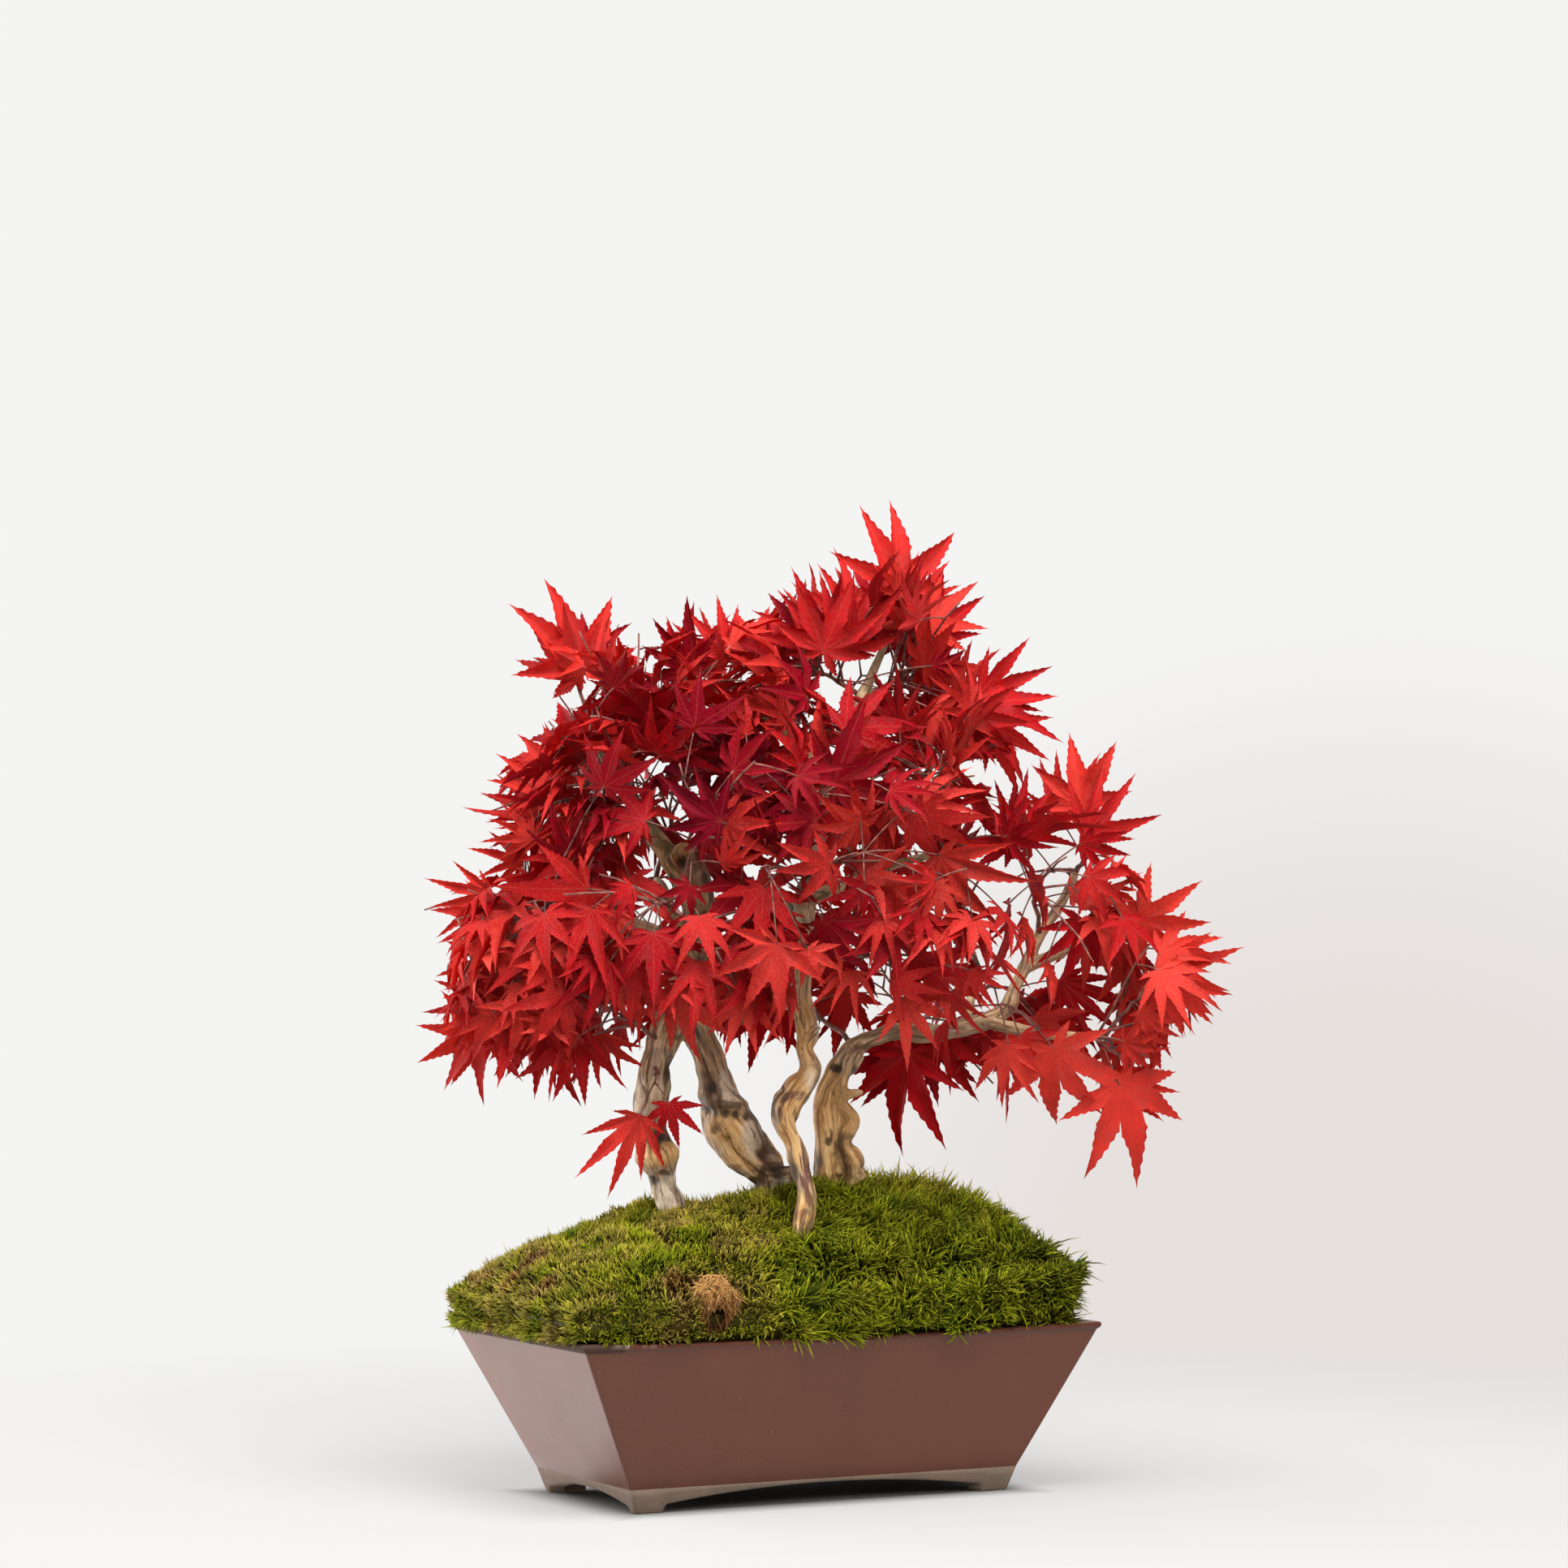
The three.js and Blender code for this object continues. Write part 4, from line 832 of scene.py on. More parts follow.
# Swellings and hollows: [across, away, up, radius, how far out]; a minus is a hollow
woodForms = {
    "trunk_arched": [
        (-66, -40, 164, 4.5, -2.4), (-57, -41, 166, 5, -1.4), (-70, -38, 176, 6, 1),
        (-54, -38, 178, 6, 1), (-60, -41, 189, 5, -2.6), (-70, -38, 196, 5, -1.2),
        (-57, -36, 206, 5, -1.2), (-66, -38, 214, 5, 0.9), (-52, -26, 222, 8, -2.2),
        (-34, -21, 206, 5, 4.2), (-25, -18, 205, 5, 4), (-41, -19, 209, 4.5, 3.2),
        (-17, -13, 203.5, 4, 3), (-33, -20, 199, 3, -3.4), (-27, -19, 198.6, 3, -3.2),
        (-21, -17, 198, 3, -3), (-15, -14, 197, 3, -2.2), (-38, -16, 200, 3.5, -2.6),
        (-40, -14, 194.5, 4, -1.6), (-24, -16, 190, 8, 1.2), (-16, -14, 180, 6, 1.2),
        (-27, -17, 184, 3, -1.4), (-31.6, -19, 189.8, 3, -1.5), (-31.6, -20, 189.8, 1.2, 2.2),
        (-14, -14, 186, 5, 1), (-25, -17, 180, 5, -0.9), (-8, -10, 178, 5, -1),
        (0.6, -8, 167.2, 5.4, -2.4), (1.2, -9, 164.6, 2.6, 2.8), (-9, -9, 170, 4, 1.6),
        (9, -7, 169, 4, 1.4), (2, -9, 174, 4, 1.5), (-3, -6, 156, 6, 1.4), (-34, -19, 212, 5, -1.8),
        (-40, -17, 222, 5, 1), (-60, -20, 331, 7, 2.6), (-50, -22, 338, 6, 2.8),
        (-44, -20, 327, 6, 2.4), (-57, -22, 321, 5, -2.6), (-49, -22, 330, 4, -3),
        (-64, -12, 342, 5, 3), (-40, -14, 335, 5, 2.2), (-53, -22, 346, 5, 3.2),
        (-38, -16, 300, 5, -2),
    ],
    "trunk_centre": [
        (1, -40, 201, 5, 1), (9, -40, 205, 4, -0.7), (12, -54, 150, 4, 1.2), (18, -53, 141, 4, 1.4),
        (20, -32, 222, 3.5, 1.3), (19, -29, 250, 4, 1.1), (13, -47, 187, 3, -0.7),
        (46, -4, 417, 5, 2.6), (12, -29, 236, 3, -1), (10, -54, 158, 3, 0.8),
        (19, -52, 133, 4, 1.5),
    ],
    "trunk_right": [
        (38, -2, 224, 4.5, 1.4), (30.5, -2, 222, 3.6, -2.6), (40, 1, 216, 3, -1.8),
        (27, -1, 183, 3, -1.4), (32, -2, 176, 4, -1.2), (44, 2, 172, 3.5, 1.6),
        (31, -2, 160, 4, -1.6), (22, 1, 165, 4, 1), (23, -1, 205, 3, 1), (50, 1, 233, 4, -1.4),
        (60, 4, 244, 4, 1.6), (76, 4, 245, 5, 1.4), (68, 4, 236, 4, -1.2), (36, -3, 235, 4, 1.4),
        (124, 10, 257, 4, 1.6), (40, 2, 182, 3, -1.2),
    ],
}
wood = {"voxel": 1.0, "quickVoxel": 2.2, "swell": 0.08, "rings": 7, "sides": 40}


def curveRows(rows, perStep):
    # a Catmull-Rom curve through a limb's rows, radius included, and each point's row number
    rows = np.asarray(rows, float)
    rows = np.concatenate([turned(rows), rows[:, 3:]], 1)
    padded = np.concatenate([[2 * rows[0] - rows[1]], rows, [2 * rows[-1] - rows[-2]]])
    count = (len(rows) - 1) * perStep + 1
    place = np.linspace(0, len(rows) - 1, count)
    step = np.minimum(place.astype(int), len(rows) - 2)
    t = (place - step)[:, None]
    a, b, c, d = (padded[step + k] for k in range(4))
    line = 0.5 * (2 * b + (c - a) * t + (2 * a - 5 * b + 4 * c - d) * t ** 2
                  + (3 * b - a - 3 * c + d) * t ** 3)
    return line[:, :3], np.maximum(line[:, 3], 0.8), place


def carriedFrame(tangent):
    # a side direction carried along the limb with no twist of its own
    before = np.array([1.0, 0.3, 0.0])
    sides = []
    for direction in tangent:
        before = unit(before - direction * (direction @ before))
        sides.append(before)
    side = np.array(sides)
    return side, np.cross(tangent, side)


def limbTube(rows):
    # circles that swell to an oval which turns along the limb, fluted by shallow lengthways ridges
    line, radius, place = curveRows(rows, wood["rings"])
    side, over = carriedFrame(unit(np.gradient(line, axis=0)))
    angle = ringAngles(wood["sides"])
    oval = 1 + wood["swell"] * np.sin(2 * angle + (place * 0.9 + rows[0][0])[:, None])
    flute = 0.045 * np.sin(5 * angle + (place * 0.4)[:, None]) * np.sin(3 * angle + place[:, None])
    reach = radius[:, None] * (oval + flute) - 0.4
    points = (line[:, None] + reach[..., None] * (side[:, None] * np.cos(angle)[:, None]
              + over[:, None] * np.sin(angle)[:, None]))
    points[-1] = line[-1] + (points[-1] - line[-1]) * 0.5
    return ringLoft(list(points), False)


def meltTogether(name, limbs):
    # all limbs in one mesh, melted into one skin of even small squares
    starts = np.cumsum([0] + [len(points) for points, _ in limbs])
    walls = [blocks[0] + start for (_, blocks), start in zip(limbs, starts)]
    caps = [blocks[1] + start for (_, blocks), start in zip(limbs, starts)]
    points = np.concatenate([points for points, _ in limbs])
    rough = surface(name + "_rough", points, [np.concatenate(walls), np.concatenate(caps)], [])
    melt = rough.modifiers.new("melt", "REMESH")
    melt.mode = "VOXEL"
    melt.voxel_size = mm * wood["voxel"]
    graph = bpy.context.evaluated_depsgraph_get()
    mesh = bpy.data.meshes.new_from_object(rough.evaluated_get(graph))
    bpy.data.objects.remove(rough)
    places = readOut(mesh.vertices, "co", np.float32, 3).reshape(-1, 3).astype(float)
    normals = readOut(mesh.vertices, "normal", np.float32, 3).reshape(-1, 3).astype(float)
    corners = readOut(mesh.loops, "vertex_index", np.int32)
    totals = readOut(mesh.polygons, "loop_total", np.int32)
    bpy.data.meshes.remove(mesh)
    starts = np.concatenate([[0], np.cumsum(totals)[:-1]])
    blocks = [corners[starts[totals == sides][:, None] + np.arange(sides)] for sides in np.unique(totals)]
    return (places - potMiddle) / mm, normals, blocks


def grainPlace(points, limbRows):
    # each point's offset from the heart of its limb, and how far along the limb it is
    parts = []
    for number, rows in enumerate(limbRows):
        line, radius, _ = curveRows(rows, 5)
        side, over = carriedFrame(unit(np.gradient(line, axis=0)))
        steps = np.linalg.norm(np.diff(line, axis=0), axis=1)
        parts.append((line, radius, side, over, np.concatenate([[0], np.cumsum(steps)]) + 1000 * number))
    line, radius, side, over, run = map(np.concatenate, zip(*parts))
    nearest = np.zeros(len(points), int)
    batch = 4000
    for start in range(0, len(points), batch):
        gaps = np.linalg.norm(points[start:start + batch, None] - line[None], axis=2) - radius
        nearest[start:start + batch] = gaps.argmin(1)
    side, over, offset = side[nearest], over[nearest], points - line[nearest]
    run = run[nearest] + dot(offset, np.cross(side, over))
    return together(dot(offset, side), dot(offset, over), run)


def spot(points, across, away, up, radius):
    # a mask about a place on the wood, drawn out towards the viewer and away
    gap = np.linalg.norm((viewed(points) - (across, away, up)) * (1.0, 0.4, 1.0), axis=1)
    return np.exp(-(gap / radius) ** 2)


def carveWood(name, points, normals, grain):
    # the skin is pushed in along stretched noise as grooves, and out and in at its knots
    bent = grain + 5.0 * threeNoises(points, 13.0, 31.0)
    lengthways = bent * np.array([1.0, 1.0, 0.12])
    broad, fine = ridges(lengthways, 6.0, 1.0), ridges(lengthways, 2.4, 2.0)
    knots, small = softNoise(points, 8.0, 3.0), softNoise(points, 3.6, 4.0)
    thick = np.clip(np.hypot(grain[:, 0], grain[:, 1]) / 8, 0.15, 1)
    push = thick * (2.0 * (knots - 0.5) + 0.7 * (small - 0.5)
                    - 0.9 * smoothStep(broad, 0.78, 1.0) - 0.3 * fine)
    hollow = np.zeros(len(points))
    for across, away, up, radius, out in woodForms[name]:
        mask = spot(points, across, away, up, radius)
        push += out * mask
        # the deeper hollows also take painted shade in the finish
        if out < -1:
            hollow = np.maximum(hollow, mask * min(1.0, -out / 2.6))
    return points + normals * push[:, None], hollow, smoothStep(broad, 0.86, 0.99)


# Colours laid over the wood: [across, up, half width, half height, strength], as the camera sees it
woodZones = {
    # pale wood, as at the arched trunk's foot, and painted highlights on the limbs' right and upper sides
    "woodPaleAndHighlight": [
        (-53, 150, 12, 13, 1), (-56, 160, 8, 8, 0.8), (-72, 205, 4, 16, 0.5), (3, 160, 6, 5, 0.9),
        (-13, 186, 7, 15, 0.55), (-24, 212, 9, 14, 0.5), (-66, 205, 9, 18, 0.3),
        (22, 240, 3, 20, 0.5), (-2, 150, 5, 6, 0.7), (43, 165, 3, 8, 0.3), (18, 215, 5, 8, 0.5),
    ],
    "woodHoney": [
        (13, 142, 9, 18, 0.9), (-62, 177, 12, 8, 1), (8, 190, 9, 26, 0.9), (14, 215, 9, 10, 0.8),
        (15, 240, 8, 22, 0.7), (-18, 176, 11, 9, 0.8), (-26, 190, 12, 12, 0.7),
        (31, 185, 16, 40, 1), (-54, 332, 12, 12, 0.8), (-36, 216, 5, 12, 0.3),
        (60, 243, 30, 5, 0.3),
    ],
    # painted shade: in creases, notches and gaps between limbs, and on the limbs' shaded sides
    "woodPaintedShade": [
        (-30, 202.3, 14, 2.8, 1), (-38, 205, 5, 4, 0.7), (-23, 169, 6, 3, 0.5),
        (-37, 214, 6, 8, 0.7), (0, 170.5, 9, 3, 1), (-7.5, 165, 2.6, 6, 0.9), (9, 166, 3, 7, 0.9),
        (-12, 163, 4, 3, 0.8), (-66.6, 162.5, 4.2, 2.8, 1), (-60, 166, 5, 1.8, 0.8),
        (-50, 219, 8, 7, 1), (-59, 187.5, 6, 5, 0.8), (-68, 186, 3, 4, 0.6), (31, 222, 3, 3.6, 0.9),
        (41, 219, 2.5, 4, 0.7), (27, 183, 2.2, 3, 0.8), (41, 152, 6, 5, 0.7),
        (37, 187, 10, 30, 0.36), (84, 241, 50, 8, 0.55), (30.5, 176, 2, 10, 0.5),
        (50, 232, 10, 3, 0.5), (-31.6, 190.3, 3.2, 3.2, 0.5), (37, 186, 4, 2, 0.6),
        (12, 134, 6, 4, 0.6), (33, 210, 1.8, 6, 0.5),
    ],
    "woodVein": [
        (1.5, 206, 6, 3, 0.8), (0, 198, 3, 6, 0.8), (10, 207, 7, 3, 0.7), (14.5, 172, 3, 16, 0.9),
        (9, 192, 2.2, 12, 0.8), (12, 142, 8, 8, 0.9), (18, 157, 4, 12, 0.9), (5, 218, 3, 2, 0.5),
        (-8, 155, 7, 9, 0.6), (27, 186, 3, 5, 0.8), (-50, 160, 3, 12, 0.5), (7, 156, 3, 8, 0.7),
    ],
}


def zoneMask(points, zones):
    flat = seen(points)
    total = np.zeros(len(points))
    wobble = 3.0 * (softNoise(points, 7.0, 5.0) - 0.5)
    for across, up, halfAcross, halfUp, strength in zones:
        gap = np.hypot((flat[:, 0] + wobble - across) / halfAcross, (flat[:, 1] + wobble - up) / halfUp)
        total = np.maximum(total, strength * (1 - smoothStep(gap, 0.55, 1.25)))
    return total


woodLook = {
    # from the dark to the light streaks
    "tan": [(0.36, (0.13, 0.060, 0.028)), (0.46, (0.42, 0.245, 0.118)), (0.54, (0.66, 0.44, 0.24)),
            (0.66, (0.80, 0.59, 0.36))],
    "grey": [(0.35, (0.12, 0.070, 0.040)), (0.48, (0.33, 0.215, 0.128)), (0.66, (0.58, 0.42, 0.27))],
    "honey": [(0.36, (0.28, 0.112, 0.034)), (0.47, (0.62, 0.335, 0.115)), (0.62, (0.84, 0.56, 0.26))],
    # pale wood and painted highlight
    "pale": [(0.37, (0.20, 0.14, 0.10)), (0.44, (0.66, 0.52, 0.38)), (0.62, (0.88, 0.76, 0.61))],
    # the dark colour is painted shade
    "vein": (0.125, 0.034, 0.024), "dark": (0.098, 0.046, 0.025), "crack": (0.050, 0.026, 0.016),
    # painted shade in the hollows
    "hollow": (0.020, 0.011, 0.008), "mossy": (0.13, 0.12, 0.035),
}


def makeWoodFinish():
    # streaks along the grain, in tones laid zone by zone, pale ones partly painted highlight, then veins,
    # painted shade, cracks, painted shade in the hollows, and moss
    material, tree, place = newMaterial("weathered_wood")
    grain = field(tree, "woodGrain", "Vector")
    stretch = put(tree, "ShaderNodeMapping", {"Vector": grain, "Scale": (1.0, 1.0, 0.075)}).outputs[0]
    lines = noiseAt(tree, stretch, 0.42, 7.0, 0.68)
    fineLines = noiseAt(tree, stretch, 1.9, 4.0, 0.7)
    both = calc(tree, "SUBTRACT", calc(tree, "MULTIPLY_ADD", fineLines, 0.35, lines), 0.175)
    tan, grey, honey, pale = (ramp(tree, both, woodLook[key]) for key in ("tan", "grey", "honey", "pale"))
    mottle = mapped(tree, noiseAt(tree, grain, 0.085, 4.0, 0.5, 0.8), 0.42, 0.56, smooth=False)
    colour = mixColour(tree, mottle, grey, tan)
    torn = noiseAt(tree, place, 230.0, 5.0, 0.65)

    def ragged(key, spread):
        links = {"Mask": field(tree, key), "Noise": torn, "Spread": spread}
        return put(tree, "ShaderNodeGroup", links, node_tree=raggedGroup).outputs["Mask"]

    colour = mixColour(tree, ragged("woodHoney", 0.9), colour, honey)
    # pale wood, with painted highlights
    colour = mixColour(tree, ragged("woodPaleAndHighlight", 0.9), colour, pale)
    veins = times(tree, ragged("woodVein", 0.9), patches(tree, stretch, 0.5, 0.5, 0.05))
    green = patches(tree, place, 160.0, 0.5, 0.08)
    # over that: veins, painted shade, cracks, painted shade in the hollows, and moss
    for mask, strength, key in ((veins, 0.9, "vein"), (ragged("woodPaintedShade", 0.5), 0.82, "dark"),
                                (field(tree, "woodCrack"), 0.8, "crack"),
                                (ragged("woodHollowShade", 0.7), 0.9, "hollow"),
                                (field(tree, "woodMossy"), green, "mossy")):
        colour = overlaid(tree, colour, mask, strength, woodLook[key])
    height = calc(tree, "ADD", lines, times(tree, fineLines, 0.5))
    rough = calc(tree, "MULTIPLY_ADD", lines, -0.25, 0.66)
    wire(tree, colour, rough, bumped(tree, height, 0.55, 0.0011), 0.4)
    return material


def makeTrunk(name, stems, branches, material):
    limbRows = stems + branches + stubs[name]
    points, normals, blocks = meltTogether(name, [limbTube(rows) for rows in limbRows])
    grain = grainPlace(points, limbRows)
    points, hollow, cracks = carveWood(name, points, normals, grain)
    level = points[:, 2]
    mossy = 0.7 * (1 - smoothStep(level, 138, 168)) + 0.5 * smoothStep(level, 305, 325)
    fields = {"woodGrain": grain, "woodHollowShade": hollow, "woodCrack": cracks, "woodMossy": mossy}
    for key, zones in woodZones.items():
        fields[key] = zoneMask(points, zones)
    piece = surface(name.replace("trunk", "wood"), points, blocks, [material], fields=fields)
    settle(piece, "driftwood", name)


woodFinish = makeWoodFinish()
for trunkName, limbs in trunks.items():
    makeTrunk(trunkName, *limbs, woodFinish)
print("wood made")


mound = {
    "footHalf": (147.0, 77.0), "topHalf": (151.0, 81.0), "lean": 4.0, "domeHalf": (156.0, 84.5),
    "corner": 0.035, "rightCorner": 0.05, "leftLean": 7.0, "edge": 12.0, "peak": 75.0, "peakX": 55.0,
    "fall": (17.0, 19.0), "dip": 4.0, "dipRadius": 20.0, "crease": 4.0, "gap": 0.3,
}
columns = (-1.0, -0.6, -0.2, 0.4, 1.0)
split = 0.1
cushions = {
    "moss_left": (0, 1, -1.0, 1.0),
    "moss_front_left": (1, 2, -1.0, split),
    "moss_front_centre": (2, 3, -1.0, split),
    "moss_front_right": (3, 4, -1.0, split),
    "moss_back_left": (1, 2, split, 1.0),
    "moss_back_centre": (2, 3, split, 1.0),
    "moss_back_right": (3, 4, split, 1.0),
}
greenCushions = ("moss_front_centre", "moss_front_right", "moss_back_right")


def moundHeight(x, y):
    # a dome that climbs steeply from the rim, falls to both ends and has shallow lumps
    climbX = np.clip(1 - np.abs((x + mound["lean"]) / mound["domeHalf"][0]) ** 6, 0, 1) ** 0.6
    climbY = np.clip(1 - np.abs(y / mound["domeHalf"][1]) ** 2.4, 0, 1) ** 0.7
    half, peakX = pot["rimHalf"][0], mound["peakX"]
    leftFall, rightFall = mound["fall"]
    fall = np.where(x < peakX, leftFall * (np.clip(peakX - x, 0, None) / half) ** 1.5,
                    rightFall * (np.clip(x - peakX, 0, None) / (half - peakX)) ** 2)
    stem = turned(centreStem[2])
    toStem = np.hypot(x - stem[0], y - stem[1]) / mound["dipRadius"]
    lumps = 2.2 * np.sin(x / 13 + 1) * np.cos(y / 11 + x / 40)
    peak = mound["peak"] - fall - mound["dip"] * np.exp(-toStem * toStem) + lumps
    return mound["edge"] + (peak - mound["edge"]) * climbX * climbY


def spreadOut(shareX, shareY, top):
    # shares of the half length and width to places, flared near the outer edge of the top
    flareX = blend(mound["footHalf"][0], mound["topHalf"][0], np.abs(shareX) ** 9 if top else 0.0)
    flareY = blend(mound["footHalf"][1], mound["topHalf"][1], np.abs(shareY) ** 9 if top else 0.0)
    nearRight = np.clip(-shareX * shareY, 0, 1) * (shareX > 0)
    corner = 1 - mound["corner"] * (shareX * shareY) ** 4 - mound["rightCorner"] * nearRight ** 3
    lean = np.where(shareX < 0, mound["leftLean"], mound["lean"])
    x = corner * shareX * flareX - (lean * shareX ** 4 if top else 0.0)
    return x, corner * shareY * flareY


def seamGap(shareX, shareY, cell):
    # distance in mm to the nearest seam with another cushion
    first, last, front, back = cell
    gaps = [np.full(np.shape(shareX), 99.0)]
    half = mound["topHalf"]
    for edge, share, size in ((columns[first], shareX, half[0]), (columns[last], shareX, half[0]),
                              (front, shareY, half[1]), (back, shareY, half[1])):
        if abs(edge) < 1:
            gaps.append(np.abs(share - edge) * size)
    return np.min(gaps, axis=0)


moss = {
    "density": 1.05, "hang": 0.5, "rimDensity": 1.7, "quickShare": 0.15, "tuft": 7.0, "depth": 7.5,
    "lump": 7.0, "smallLump": 3.0, "width": (0.34, 0.62), "warp": 7.0, "cushion": 19.0,
    "strays": 0.02, "woodTop": 175.0,
    # where along a blade its rings are; the left cushion has more blades, with fewer rings
    "steps": (0.0, 0.42, 0.76), "fewSteps": (0.0, 0.5), "mostTriangles": 186000,
}


def mossCharacter(x, y, level):
    # what grows at a place: how green it is, how long and how much it is combed over
    point = together(x, y, level)
    flat = viewed(point)
    across, away = flat[..., 0], flat[..., 1]
    greenSide = smoothStep(across + 16 * (softNoise(point, 26, 1.0) - 0.5), -22, 14)
    patch = softNoise(point, 15, 2.0)
    brown = smoothStep(softNoise(point, 19, 3.0), 0.63, 0.78) * (1 - greenSide)
    darkGreen = smoothStep(softNoise(point, 12, 4.0), 0.60, 0.72) * (1 - greenSide)
    hue = 0.40 + 0.28 * greenSide + 0.40 * (patch - 0.5)
    hue = hue - 0.32 * brown + 0.28 * darkGreen
    back = smoothStep(away, -8, 22) * smoothStep(level, 130, 150)
    hue = blend(hue, 0.44 + 0.22 * (patch - 0.5), 0.75 * back)
    length = 6.2 + 4.0 * greenSide + 5.0 * back + 2.5 * (patch - 0.5)
    return hue, length, 0.35 + 0.65 * greenSide


def rimLevel(x):
    return pot["height"] - rimDip(x, pot["height"])


def bladeRoots(cell, draws, share):
    # roots on the top in proportion to its area, then those of the outer edges
    first, last, front, back = cell
    low, high = columns[first], columns[last]
    area = (high - low) * (back - front) * mound["topHalf"][0] * mound["topHalf"][1]
    count = int(area * moss["density"] * share)
    shareX = draws.uniform(low, high, count)
    shareY = draws.uniform(front, back, count)
    x, y = spreadOut(shareX, shareY, True)
    level = pot["height"] + moundHeight(x, y) - rimDip(x, pot["height"])
    step = 0.8
    slopeX = (moundHeight(x + step, y) - moundHeight(x - step, y)) / (2 * step)
    slopeY = (moundHeight(x, y + step) - moundHeight(x, y - step)) / (2 * step)
    slope = np.clip(together(slopeX, slopeY), -2.2, 2.2)
    crease = np.exp(-(seamGap(shareX, shareY, cell) / 3.5) ** 2) * mound["crease"]
    place = together(x, y, level)
    lump = moss["lump"] * (softNoise(place, 15, 51.0) - 0.42)
    lump += moss["smallLump"] * (softNoise(place, 6, 52.0) - 0.5)
    level = level - crease - 0.72 * mossCharacter(x, y, level)[1] + lump
    roots = [together(x, y, np.maximum(level, rimLevel(x) + 1.5))]
    normals = [unit(np.column_stack([-slope, np.ones(count)]))]
    edges = [(0, -1.0, low, high, front == -1.0), (0, 1.0, low, high, back == 1.0),
             (1, -1.0, front, back, first == 0), (1, 1.0, front, back, last == 4)]
    for axis, side, start, end, outer in edges:
        if outer:
            edgeRoots, edgeNormals = rimRoots(axis, side, start, end, draws, share)
            roots += edgeRoots
            normals += edgeNormals
    return np.concatenate(roots), np.concatenate(normals)


def rimRoots(axis, side, start, end, draws, share):
    # roots of one outer edge: a ragged fringe that hangs over the rim, thickest at the left end
    # of the pot, then the mound's outer wall
    leftEnd = axis == 1 and side < 0
    total = (end - start) * mound["topHalf"][axis] * mound["edge"] * moss["rimDensity"] * share
    outer = np.array([axis == 1, axis == 0]) * 1.0

    def along(count):
        both = [draws.uniform(start, end, count), np.full(count, side)]
        return np.stack(spreadOut(*(both if axis == 0 else both[::-1]), True), -1)

    flat = along(int(total * (moss["hang"] if leftEnd else moss["hang"] * 0.3)))
    level = rimLevel(flat[:, 0]) + draws.uniform(1.2, 4.5, len(flat))
    fringe = np.column_stack([flat * (1 - 0.012 * outer), level])
    fringe = fringe[softNoise(fringe, 9.0, 61.0) > (0.30 if leftEnd else 0.52)]
    hangWay = unit(np.array([*(outer * side), -0.95]))
    flat = along(int(total))
    rise = draws.uniform(0.12, 1.0, len(flat)) * moundHeight(flat[:, 0], flat[:, 1])
    inward = 1 - 0.028 * (1 - rise / mound["edge"])
    wall = np.column_stack([flat * inward[:, None], rimLevel(flat[:, 0]) + rise - 1.0])
    wallWay = unit(np.array([*(outer * side), 0.35]))
    return ([fringe, wall - 2.0 * wallWay],
            [np.tile(hangWay, (len(fringe), 1)), np.tile(wallWay, (len(wall), 1))])


def keepOffWood(roots):
    # roots stand clear of the trunks, except for a few that lean against them
    keep = np.ones(len(roots), bool)
    for stems, _ in trunks.values():
        for rows in stems:
            line, radius, _ = curveRows(rows, 4)
            near = line[:, 2] < moss["woodTop"]
            gap = np.linalg.norm(roots[:, None] - line[near][None], axis=2) - radius[near]
            keep &= gap.min(1) > -1.5
    return keep


